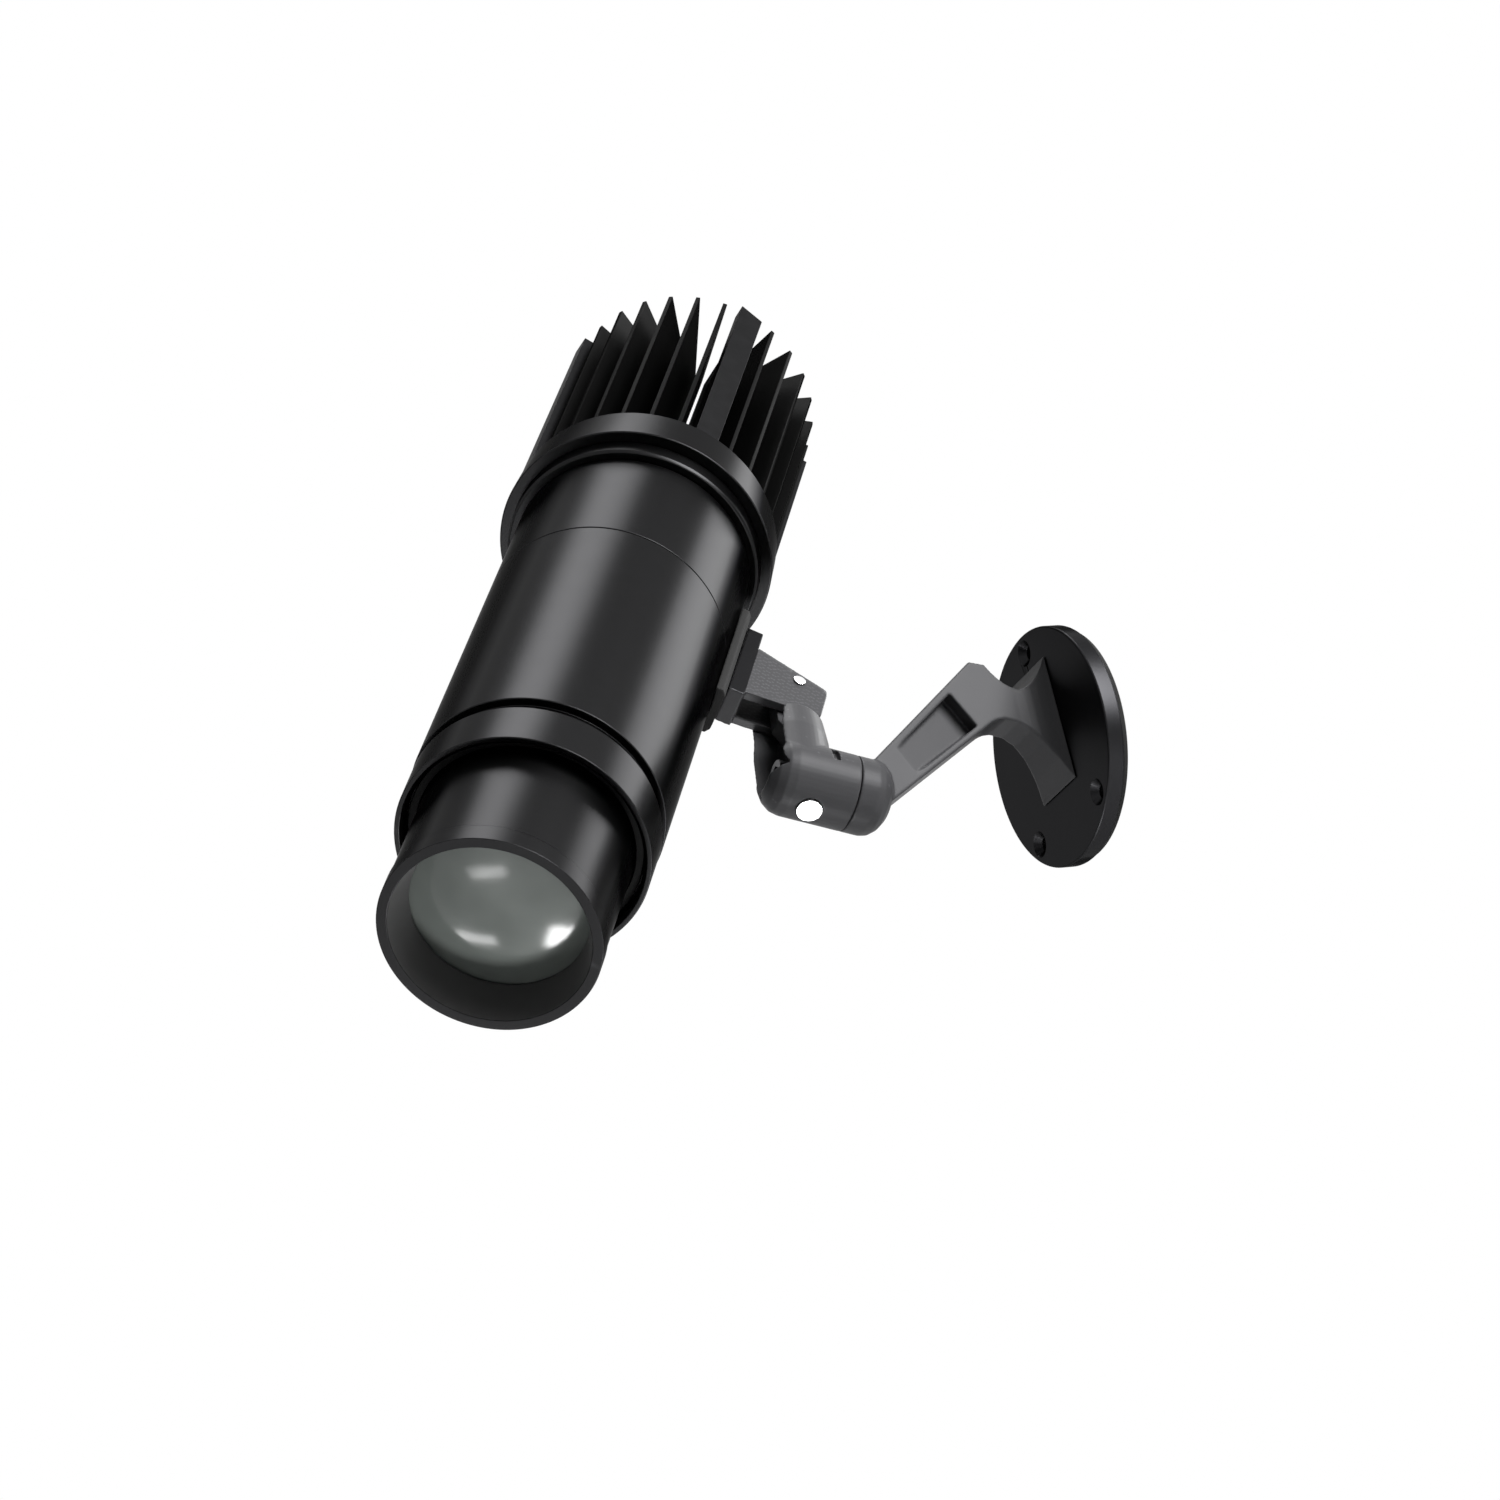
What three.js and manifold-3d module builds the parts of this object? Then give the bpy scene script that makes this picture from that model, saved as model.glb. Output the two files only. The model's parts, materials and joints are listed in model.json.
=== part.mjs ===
// Wall-mounted gobo projector: a cast arm on a round wall plate, an elbow that swivels
// on the arm, and a lamp that tilts on the elbow, with a finned heat sink behind and a
// sliding lens barrel in front. Millimetres, +Z up, wall face at Y = 0, room towards -Y.

import * as THREE from 'three';
import { mergeVertices } from 'three/addons/utils/BufferGeometryUtils.js';
import Module from 'manifold-3d';

const wasm = await Module();
wasm.setup();

// Fits and fineness

const clearance = 0.3;
const runningGap = 0.4;
const overrun = 2;
const roundSegments = 48;
const innerSegments = 24;
const smallSegments = 12;
const curveSteps = 5;

// Resting angles of the joints, in degrees

const swivelAxisDrop = 19;
const swivelAngle = -26.4;
const tiltAngle = 14.9;

// Wall plate and its gasket

const plateRadius = 40;
const plateThickness = 6;
const plateEdgeRound = 0.8;
const gasketRadius = 38.6;
const gasketThickness = 2;
const wallHoleRadius = 2.3;
const wallHoleHeadRadius = 4.4;
const wallHoleHeadDepth = 2.2;
const wallHoleCircle = 34;
const wallHoleAngles = [90, -49, -131];

// Cast arm: a foot on the plate, a bent web and a round knuckle

const footHeight = 44.3;
const footWidth = 25.3;
const footRise = 5.7;
const armWidth = 14;
const armFlareLength = 11;
const armReach = 76.55;
const knuckleDrop = 10.97;
const pocketDepth = 5.4;
const pocketTopRim = 2.8;
const pocketBottomRim = 2.2;
const pocketStart = 14.5;
const pocketLength = 30;
const footScrewRadius = 2.5;
const footScrewHeadRadius = 4.4;
const footScrewHeadHeight = 3;
const footScrewLength = 7.6;
const footScrewSpacing = 12;
const footScrewRise = 8.7;

// Joint: round limbs of one diameter, met by a swivel bolt and a tilt pin

const limbRadius = 12.6;
const knuckleLength = 14.4;
const knuckleDome = 8;
const elbowLength = 15.3;
const elbowTail = 15.2;
const elbowTailDome = 9.5;
const upperLimbRadius = 12.5;
const upperLimbSetback = 3.1;
const upperLimbTopRadius = 11.7;
const upperLimbTaper = 11;
const shoulderHeight = 26;
const shoulderRound = 1;
const slotFarWidth = 7.2;
const slotNearWidth = 10.2;
const slotFloor = -5.2;
const slotBack = -4;
const slotBottomDrop = 6.4;
const pinHeight = 44.9;
const tongueWidth = 6.2;
const tongueRadius = 7.6;
const tongueGusset = 6;
const notchWidth = 2.4;
const notchDepth = 2.2;
const notchHeight = 6.8;
const notchPlace = 8;
const notchTurn = 12;
const frictionWasherThickness = 1;
const swivelBoltRadius = 3;
const swivelBoltHeadRadius = 5;
const swivelBoltHeadHeight = 4.2;
const swivelBoltEngagement = 9;
const springWasherThickness = 1.2;
const stopPinRadius = 1.2;
const stopPinCircle = 9.6;
const stopPinHeight = 1.4;
const stopPinDepth = 3;
const stopGrooveWidth = 3.2;
const stopLandWidth = 2;
const lockScrewRadius = 4.1;
const lockScrewPlace = 1.3;
const lockScrewOffset = 1.2;
const lockScrewRise = 0.4;

// Main tube: stations run rearwards from its front

const tubeRadius = 40;
const tubeWall = 3;
const tubeBore = tubeRadius - tubeWall;
const tubeLength = 150.7;
const rearTubeLength = 45.7;
const tubeJoint = tubeLength - rearTubeLength;
const tubeEdgeRound = 0.6;

// Lamp bracket: a strip with two ears, on a saddle that fits the tube

const pinRise = 24.8;
const pinReach = tubeRadius + pinRise;
const pinSetback = 36.6;
const pinStation = tubeLength - pinSetback;
const pinRadius = 1.5;
const pinHeadRadius = 2.1;
const pinHeadRise = 1.6;
const tiltWasherRadius = 5.6;
const nutRadius = 3.2;
const nutHeight = 2.4;
const earThickness = 3.1;
const earGap = 7.4;
const bracketWidth = earGap + 2 * earThickness;
const stripRise = 3.5;
const stripInner = tubeRadius + stripRise;
const stripThickness = 5.4;
const stripAhead = 19.9;
const stripFront = pinStation - stripAhead;
const stripBehind = 22.9;
const stripRear = pinStation + stripBehind;
const earRearSpread = 8.9;
const earRearBase = pinStation + earRearSpread;
const earRearLean = 8.8;
const earRearTip = earRearBase - earRearLean;
const earFrontSpread = 18.6;
const earFrontBase = pinStation - earFrontSpread;
const earFrontLean = 3.9;
const earFrontTip = earFrontBase + earFrontLean;
const earMargin = 10.2;
const earTip = pinReach + earMargin;
const earCorner = 2;
const saddleHalfWidth = 9;
const saddleEdge = 2.6;
const saddleFrontOverhang = 6.2;
const saddleFront = stripFront - saddleFrontOverhang;
const saddleRearOverhang = 2;
const saddleRear = stripRear + saddleRearOverhang;
const bracketScrewRadius = 2;
const bracketScrewHeadRadius = 3.1;
const bracketScrewHeadHeight = 2.4;
const bracketScrewInset = 13.8;
const bracketScrewSpacing = 21;
const bracketScrewFront = stripFront + bracketScrewInset;
const bracketScrewStations = [bracketScrewFront, bracketScrewFront + bracketScrewSpacing];

// Spigot between the two lengths of the tube, nose, lock ring and guide sleeve

const spigotLength = 8;
const spigotWall = 2.6;
const noseLength = 15;
const noseStep = 2.7;
const noseRadius = tubeRadius - noseStep;
const noseWall = 2.8;
const noseBore = noseRadius - noseWall;
const ringGap = 4.6;
const ringFront = 21.6;
const ringInset = 0.3;
const ringRadius = tubeRadius - ringInset;
const ringWall = 2.8;
const ringMouth = ringRadius - ringWall;
const ringChamfer = 1.2;
const wedgeThickness = 2.2;
const sleeveFront = 3;
const sleeveLength = 30;

// Lens barrel

const barrelFront = 67.3;
const barrelRear = 24;
const barrelPlay = 0.9;
const barrelRadius = noseBore - barrelPlay;
const barrelWall = 3.6;
const barrelBore = barrelRadius - barrelWall;
const rimStep = 0.4;
const rimRadius = barrelRadius + rimStep;
const rimLength = 7;
const rimLip = 3.3;
const hoodDepth = 13;
const hoodStep = 2.6;
const hoodBore = barrelBore - hoodStep;
const lipThickness = 1.2;
const lensPlay = 0.4;
const lensRadius = barrelBore - lensPlay;
const lensEdge = 6;
const lensCurve = 85;
const rearLensCurve = 80;
const rearLensEdge = 3.4;
const spacerEnd = 13;
const retainerWidth = 3.6;
const retainerLength = 4;

// Gobo stage and condenser

const carrierSetback = 29;
const carrierFront = tubeJoint - carrierSetback;
const carrierThickness = 6;
const goboRadiusShare = 0.6;
const goboRadius = tubeRadius * goboRadiusShare;
const goboThickness = 1.1;
const goboSeat = 2.4;
const goboWindowStep = 3;
const goboWindow = goboRadius - goboWindowStep;
const condenserInset = 6;
const condenserRadius = tubeBore - condenserInset;
const condenserEdge = 2.6;
const condenserCurve = 44;
const condenserHolderWall = 3.4;
const condenserDepth = 4;
const condenserFront = tubeJoint + condenserDepth;
const condenserDomeGap = 0.0970622;
const condenserRearEdge = 2.6;
const condenserRearCurve = 90;
const condenserLipDepth = 2;

// Light source, collar ring and heat sink

const bossRadius = tubeBore - clearance;
const bossOverlap = 0.7;
const bossFront = tubeLength - bossOverlap;
const boardRadius = 24;
const boardThickness = 2;
const emitterRadius = 9.5;
const emitterThickness = 1.2;
const emitterFrameSize = 28;
const emitterFrameHeight = 2.6;
const boardScrewRadius = 1.5;
const boardScrewHeadRadius = 2.7;
const boardScrewHeadHeight = 1.8;
const boardScrewCircle = 20.5;
const boardScrewLength = 6;
const collarGap = 1.2;
const collarFront = tubeLength + collarGap;
const collarLength = 4.5;
const collarRear = collarFront + collarLength;
const collarStep = 3;
const collarRadius = tubeRadius + collarStep;
const collarTaper = 0.8;
const flangeFront = collarRear + clearance;
const flangeLength = 16.5;
const flangeRear = flangeFront + flangeLength;
const flangeStep = 6.7;
const flangeRadius = tubeRadius + flangeStep;
const flangeTaper = 0.9;
const flangeWall = 3.2;
const flangeFloor = 9.4;
const flangeEdgeRound = 0.7;
const finLength = 91.6;
const finRear = flangeRear + finLength;
const finInset = 2.2;
const finOuter = flangeRadius - finInset;
const finInner = 10.5;
const finThickness = 1.5;
const finsPerQuarter = 6;
const crownTurn = 8;
const ribWidth = 8.6;
const ribDepth = 5.5;
const ribInset = 1.1;
const ribOuter = flangeRadius - ribInset;
const ribRearSlope = 3;

// Finishes

const finish = {
  anodised: { color: 0x1d1d20, roughness: 0.42, metalness: 0.55 },
  casting: { color: 0x38383d, roughness: 0.5, metalness: 0.4 },
  rubber: { color: 0x141414, roughness: 0.9, metalness: 0 },
  steel: { color: 0xb9bcc0, roughness: 0.3, metalness: 0.95 },
  glass: { color: 0x8d9a97, roughness: 0.05, metalness: 0 },
  innerBlack: { color: 0x121212, roughness: 0.8, metalness: 0.1 },
  board: { color: 0xd8d8d2, roughness: 0.5, metalness: 0.2 },
  phosphor: { color: 0xe8c84a, roughness: 0.6, metalness: 0 },
  nylon: { color: 0xcfcfca, roughness: 0.6, metalness: 0 },
};

const degrees = Math.PI / 180;

// Solids

function welded(geometry) {
  const plain = geometry.clone();
  plain.deleteAttribute('normal');
  plain.deleteAttribute('uv');
  return mergeVertices(plain, 1e-4);
}

function volumeOf(positions, index) {
  const a = new THREE.Vector3();
  const b = new THREE.Vector3();
  const c = new THREE.Vector3();
  let sum = 0;
  for (let i = 0; i < index.length; i += 3) {
    a.fromArray(positions, 3 * index[i]);
    b.fromArray(positions, 3 * index[i + 1]);
    c.fromArray(positions, 3 * index[i + 2]);
    sum += a.dot(b.cross(c));
  }
  return sum / 6;
}

function solid(geometry) {
  const merged = welded(geometry);
  const vertProperties = new Float32Array(merged.attributes.position.array);
  const source = merged.index.array;
  const kept = [];
  for (let i = 0; i < source.length; i += 3) {
    const [p, q, r] = [source[i], source[i + 1], source[i + 2]];
    if (p !== q && q !== r && r !== p) kept.push(p, q, r);
  }
  if (volumeOf(vertProperties, kept) < 0) kept.reverse();
  const triVerts = new Uint32Array(kept);
  return new wasm.Manifold(new wasm.Mesh({ numProp: 3, vertProperties, triVerts }));
}

function join(...geometries) {
  const parts = geometries.map(solid);
  return geometryOf(parts.reduce((whole, part) => whole.add(part)));
}

function cut(base, ...tools) {
  const parts = tools.map(solid);
  return geometryOf(parts.reduce((whole, part) => whole.subtract(part), solid(base)));
}

function common(base, tool) {
  return geometryOf(solid(base).intersect(solid(tool)));
}

function geometryOf(manifold) {
  const mesh = manifold.getMesh();
  const stride = mesh.numProp;
  const count = mesh.vertProperties.length / stride;
  const positions = new Float32Array(3 * count);
  for (let i = 0; i < count; i += 1) {
    for (let k = 0; k < 3; k += 1) positions[3 * i + k] = mesh.vertProperties[stride * i + k];
  }
  const geometry = new THREE.BufferGeometry();
  geometry.setAttribute('position', new THREE.BufferAttribute(positions, 3));
  geometry.setIndex(Array.from(mesh.triVerts));
  return geometry;
}

function closed(geometry) {
  return geometryOf(solid(geometry));
}

// A turned solid about Z from [radius, station] pairs

function turned(profile, segments = roundSegments) {
  const loop = profile.map(([radius, station]) => new THREE.Vector2(radius, station));
  const first = loop[0];
  const last = loop[loop.length - 1];
  if (first.x > 0 || last.x > 0) loop.push(first.clone());
  const geometry = new THREE.LatheGeometry(loop, segments);
  geometry.rotateX(Math.PI / 2);
  return closed(geometry);
}

function turnedRing(inner, outer, from, to, segments = roundSegments) {
  return turned([[inner, from], [outer, from], [outer, to], [inner, to]], segments);
}

function turnedRod(radius, from, to, segments = smallSegments) {
  return turned([[0, from], [radius, from], [radius, to], [0, to]], segments);
}

function alongY(geometry) {
  geometry.rotateX(-Math.PI / 2);
  return geometry;
}

function alongX(geometry) {
  geometry.rotateY(Math.PI / 2);
  return geometry;
}

function moved(geometry, x, y, z) {
  geometry.translate(x, y, z);
  return geometry;
}

function block(fromX, toX, fromY, toY, fromZ, toZ) {
  const geometry = new THREE.BoxGeometry(toX - fromX, toY - fromY, toZ - fromZ);
  geometry.translate((fromX + toX) / 2, (fromY + toY) / 2, (fromZ + toZ) / 2);
  return geometry;
}

// An outline in the Y-Z plane, extruded along X between two places

function sideways(shape, fromX, toX) {
  const geometry = new THREE.ExtrudeGeometry(shape, {
    depth: toX - fromX,
    bevelEnabled: false,
    curveSegments: curveSteps,
  });
  geometry.rotateY(Math.PI / 2);
  geometry.rotateX(Math.PI / 2);
  geometry.translate(fromX, 0, 0);
  return closed(geometry);
}

// An outline in the X-Y plane, extruded along Z between two stations

function upright(shape, from, to, steps = curveSteps) {
  const geometry = new THREE.ExtrudeGeometry(shape, {
    depth: to - from,
    bevelEnabled: false,
    curveSegments: steps,
  });
  geometry.translate(0, 0, from);
  return closed(geometry);
}

// Depth of a spherical face between its crown and a given radius

function sag(curve, radius) {
  return curve - Math.sqrt(curve * curve - radius * radius);
}

// A lens with a domed front and a flat back; its dome rests on a seat of a smaller radius

function domedLens(radius, edge, curve, edgeFrom, segments = innerSegments) {
  const points = [];
  for (let i = 0; i <= curveSteps; i += 1) {
    const r = radius * (i / curveSteps);
    points.push([r, edgeFrom - sag(curve, radius) + sag(curve, r)]);
  }
  points.push([radius, edgeFrom + edge]);
  points.push([0, edgeFrom + edge]);
  return turned(points, segments);
}

function edgeBehind(seat, seatRadius, radius, curve) {
  return seat + clearance + sag(curve, radius) - sag(curve, seatRadius);
}

// Scene graph

const projector = new THREE.Group();

function piece(group, name, geometry, look) {
  const mesh = new THREE.Mesh(geometry, new THREE.MeshStandardMaterial(finish[look]));
  mesh.name = name;
  group.add(mesh);
  return mesh;
}

// Wall plate, gasket and arm stand still on the wall

const wallSide = new THREE.Group();
projector.add(wallSide);

const plateFace = gasketThickness + plateThickness;

function wallPlate() {
  const backY = gasketThickness;
  const profile = [
    [0, backY],
    [plateRadius, backY],
    [plateRadius, plateFace - plateEdgeRound],
    [plateRadius - plateEdgeRound, plateFace],
    [0, plateFace],
  ];
  const tools = [];
  for (const angle of wallHoleAngles) {
    const x = wallHoleCircle * Math.cos(angle * degrees);
    const z = wallHoleCircle * Math.sin(angle * degrees);
    const hole = turned([
      [0, backY - overrun],
      [wallHoleRadius, backY - overrun],
      [wallHoleRadius, plateFace - wallHoleHeadDepth],
      [wallHoleHeadRadius, plateFace],
      [wallHoleHeadRadius, plateFace + overrun],
      [0, plateFace + overrun],
    ], smallSegments);
    tools.push(moved(outFromWall(hole), x, 0, z));
  }
  for (const z of footScrewHeights()) {
    const headTop = backY + footScrewHeadHeight + clearance;
    const bore = turned([
      [0, backY - overrun],
      [footScrewHeadRadius + clearance, backY - overrun],
      [footScrewHeadRadius + clearance, headTop],
      [footScrewRadius + clearance, headTop],
      [footScrewRadius + clearance, plateFace + overrun],
      [0, plateFace + overrun],
    ], smallSegments);
    tools.push(moved(outFromWall(bore), 0, 0, z));
  }
  return cut(outFromWall(turned(profile)), ...tools);
}

// A solid turned about Z is laid so that its stations run from the wall into the room

function outFromWall(geometry) {
  geometry.rotateX(Math.PI / 2);
  return geometry;
}

function footScrewHeights() {
  return [footScrewRise - footScrewSpacing / 2, footScrewRise + footScrewSpacing / 2];
}

function wallGasket() {
  const tools = wallHoleAngles.map((angle) => moved(
    outFromWall(turnedRod(wallHoleRadius, -overrun, gasketThickness + overrun)),
    wallHoleCircle * Math.cos(angle * degrees),
    0,
    wallHoleCircle * Math.sin(angle * degrees),
  ));
  return cut(outFromWall(turnedRod(gasketRadius, 0, gasketThickness, roundSegments)), ...tools);
}

piece(wallSide, 'wall_gasket', wallGasket(), 'rubber');
piece(wallSide, 'wall_plate', wallPlate(), 'anodised');

// Arm outline, as shares of the reach to the swivel seam and of the foot height

const armShares = {
  kinkTop: [0.329, 0.534],
  kinkBack: [0.259, 0.504],
  neckTop: [0.123, 0.285],
  neckTopPull: [0.202, 0.325],
  footTopPull: [0.035, 0.3],
  neckBottom: [0.219, 0.06],
  footBottomPull: [0.074, 0.03],
  kinkBottom: [0.306, 0.022],
  kinkBottomPull: [0.265, 0.066],
  knuckleTop: [0.892, -0.198],
  knuckleBottom: [0.938, -0.612],
};

function armPoint([reachShare, heightShare], lift = 0) {
  return [-(plateFace + armReach * reachShare), footRise + footHeight * heightShare + lift];
}

const footFace = plateFace + clearance;
const drop = swivelAxisDrop * degrees;
const seamPlace = new THREE.Vector3(0, -(plateFace + armReach), -knuckleDrop);

function armWeb() {
  const shape = new THREE.Shape();
  const bottom = footRise - footHeight / 2;
  const top = footRise + footHeight / 2;
  shape.moveTo(-footFace, bottom);
  shape.quadraticCurveTo(...armPoint(armShares.footBottomPull), ...armPoint(armShares.neckBottom));
  shape.quadraticCurveTo(...armPoint(armShares.kinkBottomPull), ...armPoint(armShares.kinkBottom));
  shape.lineTo(...armPoint(armShares.knuckleBottom));
  shape.lineTo(...armPoint(armShares.knuckleTop));
  shape.lineTo(...armPoint(armShares.kinkTop));
  shape.lineTo(...armPoint(armShares.kinkBack));
  shape.quadraticCurveTo(...armPoint(armShares.neckTopPull), ...armPoint(armShares.neckTop));
  shape.quadraticCurveTo(...armPoint(armShares.footTopPull), -footFace, top);
  shape.closePath();
  const web = sideways(shape, -footWidth / 2, footWidth / 2);

  const plan = new THREE.Shape();
  const half = armWidth / 2;
  const flareEnd = -(footFace + armFlareLength);
  const far = -(plateFace + armReach + overrun);
  plan.moveTo(footWidth / 2, -footFace);
  plan.quadraticCurveTo(half, -(footFace + armFlareLength / 3), half, flareEnd);
  plan.lineTo(half, far);
  plan.lineTo(-half, far);
  plan.lineTo(-half, flareEnd);
  plan.quadraticCurveTo(-half, -(footFace + armFlareLength / 3), -footWidth / 2, -footFace);
  plan.closePath();
  return common(web, upright(plan, -footHeight, footHeight));
}

// A pocket in each flat side, deep beside the kink and running out towards the knuckle

function armPocket(side) {
  const kinkTop = new THREE.Vector2(...armPoint(armShares.kinkTop));
  const knuckleTop = new THREE.Vector2(...armPoint(armShares.knuckleTop));
  const kinkBottom = new THREE.Vector2(...armPoint(armShares.kinkBottom));
  const knuckleBottom = new THREE.Vector2(...armPoint(armShares.knuckleBottom));
  const along = knuckleTop.clone().sub(kinkTop).normalize();
  const inward = new THREE.Vector2(-along.y, along.x);
  const under = knuckleBottom.clone().sub(kinkBottom).normalize();
  const upward = new THREE.Vector2(under.y, -under.x);
  const topStart = kinkTop.clone().addScaledVector(along, pocketStart).addScaledVector(inward, pocketTopRim);
  const topEnd = topStart.clone().addScaledVector(along, pocketLength);
  const reach = topStart.clone().sub(kinkBottom).dot(under);
  const bottomStart = kinkBottom.clone().addScaledVector(under, reach);
  bottomStart.addScaledVector(upward, pocketBottomRim);
  const bottomEnd = bottomStart.clone().addScaledVector(under, pocketLength);
  const half = armWidth / 2;
  const corners = [topStart, topEnd, bottomEnd, bottomStart];
  const depths = [pocketDepth, 0, 0, pocketDepth];
  const positions = [];
  for (const [i, corner] of corners.entries()) positions.push(side * (half - depths[i]), corner.x, corner.y);
  for (const corner of corners) positions.push(side * (half + overrun), corner.x, corner.y);
  const geometry = new THREE.BufferGeometry();
  geometry.setAttribute('position', new THREE.Float32BufferAttribute(positions, 3));
  geometry.setIndex([
    0, 1, 2, 0, 2, 3, 4, 6, 5, 4, 7, 6,
    0, 5, 1, 0, 4, 5, 1, 6, 2, 1, 5, 6,
    2, 7, 3, 2, 6, 7, 3, 4, 0, 3, 7, 4,
  ]);
  return geometry;
}

function knuckleSolid() {
  const profile = [[0, clearance], [limbRadius, clearance], [limbRadius, knuckleLength - knuckleDome]];
  for (let i = 1; i <= curveSteps; i += 1) {
    const turn = (i / curveSteps) * Math.PI / 2;
    const station = knuckleLength - knuckleDome + knuckleDome * Math.sin(turn);
    profile.push([limbRadius * Math.cos(turn), station]);
  }
  profile[profile.length - 1][0] = 0;
  return alongY(turned(profile));
}

// Swivel frame: Y runs along the swivel axis towards the wall, X stays level

function toSwivelFrame(geometry) {
  geometry.rotateX(-drop);
  geometry.translate(seamPlace.x, seamPlace.y, seamPlace.z);
  return geometry;
}

function armCasting() {
  const bodies = join(armWeb(), toSwivelFrame(knuckleSolid()));
  const tools = [armPocket(1), armPocket(-1)];
  const seamCut = block(-footWidth, footWidth, -footWidth, clearance, -footWidth, footWidth);
  tools.push(toSwivelFrame(seamCut));
  const tap = alongY(turnedRod(swivelBoltRadius + clearance, -overrun, swivelBoltEngagement + clearance));
  tools.push(toSwivelFrame(tap));
  const stopHole = alongY(turnedRod(stopPinRadius + clearance, -overrun, stopPinDepth + clearance));
  tools.push(toSwivelFrame(moved(stopHole, 0, 0, -stopPinCircle)));
  for (const z of footScrewHeights()) {
    const tapped = turnedRod(footScrewRadius + clearance, gasketThickness, screwEnd() + clearance);
    tools.push(moved(outFromWall(tapped), 0, 0, z));
  }
  return cut(bodies, ...tools);
}

function screwEnd() {
  return gasketThickness + clearance + footScrewHeadHeight + footScrewLength;
}

piece(wallSide, 'arm_casting', armCasting(), 'casting');

for (const [i, z] of footScrewHeights().entries()) {
  const start = gasketThickness + clearance;
  const neck = start + footScrewHeadHeight;
  const screw = turned([
    [0, start],
    [footScrewHeadRadius, start],
    [footScrewHeadRadius, neck],
    [footScrewRadius, neck],
    [footScrewRadius, screwEnd()],
    [0, screwEnd()],
  ], smallSegments);
  piece(wallSide, `foot_screw_${i + 1}`, moved(outFromWall(screw), 0, 0, z), 'steel');
}

// The swivel bolt is screwed into the knuckle and carries the elbow

const swivelSide = new THREE.Group();
swivelSide.position.copy(seamPlace);
swivelSide.rotation.x = -drop;
wallSide.add(swivelSide);

const seatStation = -elbowLength + slotBack;
const headFront = seatStation - springWasherThickness - 2 * clearance;

function swivelBolt() {
  const bolt = turned([
    [0, headFront - swivelBoltHeadHeight],
    [swivelBoltHeadRadius, headFront - swivelBoltHeadHeight],
    [swivelBoltHeadRadius, headFront],
    [swivelBoltRadius, headFront],
    [swivelBoltRadius, swivelBoltEngagement],
    [0, swivelBoltEngagement],
  ], smallSegments);
  const socketStation = headFront - swivelBoltHeadHeight;
  const socketReach = swivelBoltHeadHeight - springWasherThickness;
  const socket = turnedRod(swivelBoltRadius, socketStation - overrun, socketStation + socketReach, 6);
  return alongY(cut(bolt, socket));
}

piece(swivelSide, 'swivel_bolt', swivelBolt(), 'steel');

const springFrom = seatStation - clearance - springWasherThickness;
const springWasher = turnedRing(swivelBoltRadius + clearance, swivelBoltHeadRadius, springFrom,
  springFrom + springWasherThickness, smallSegments);
piece(swivelSide, 'swivel_spring_washer', alongY(springWasher), 'steel');

const stopPin = alongY(turnedRod(stopPinRadius, -stopPinHeight, stopPinDepth));
piece(swivelSide, 'swivel_stop_pin', moved(stopPin, 0, 0, -stopPinCircle), 'steel');

// Elbow frame: origin where the two limbs cross, Y along the swivel axis, Z up the upper limb

const elbow = new THREE.Group();
elbow.position.set(0, -elbowLength, 0);
elbow.rotation.y = swivelAngle * degrees;
swivelSide.add(elbow);

function lowerLimb() {
  const profile = [[0, elbowLength], [limbRadius, elbowLength]];
  for (let i = 0; i <= curveSteps; i += 1) {
    const turn = (i / curveSteps) * Math.PI / 2;
    const station = -(elbowTail - elbowTailDome) - elbowTailDome * Math.sin(turn);
    profile.push([limbRadius * Math.cos(turn), station]);
  }
  profile[profile.length - 1][0] = 0;
  return alongY(turned(profile));
}

function upperLimb() {
  return moved(turned([
    [0, 0],
    [upperLimbRadius, 0],
    [upperLimbRadius, shoulderHeight - upperLimbTaper],
    [upperLimbTopRadius, shoulderHeight - shoulderRound],
    [upperLimbTopRadius - shoulderRound, shoulderHeight],
    [0, shoulderHeight],
  ]), 0, -upperLimbSetback, 0);
}

function tongue() {
  const shape = new THREE.Shape();
  shape.moveTo(slotBack, slotFloor);
  shape.lineTo(tongueRadius, slotFloor);
  shape.lineTo(tongueRadius, pinHeight);
  shape.absarc(0, pinHeight, tongueRadius, 0, Math.PI, false);
  shape.lineTo(-tongueRadius, shoulderHeight);
  shape.lineTo(slotBack, shoulderHeight - tongueGusset);
  shape.closePath();
  const pinBore = alongX(turnedRod(pinRadius + clearance, -tongueWidth, tongueWidth));
  return cut(sideways(shape, -tongueWidth / 2, tongueWidth / 2), moved(pinBore, 0, 0, pinHeight));
}

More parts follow.
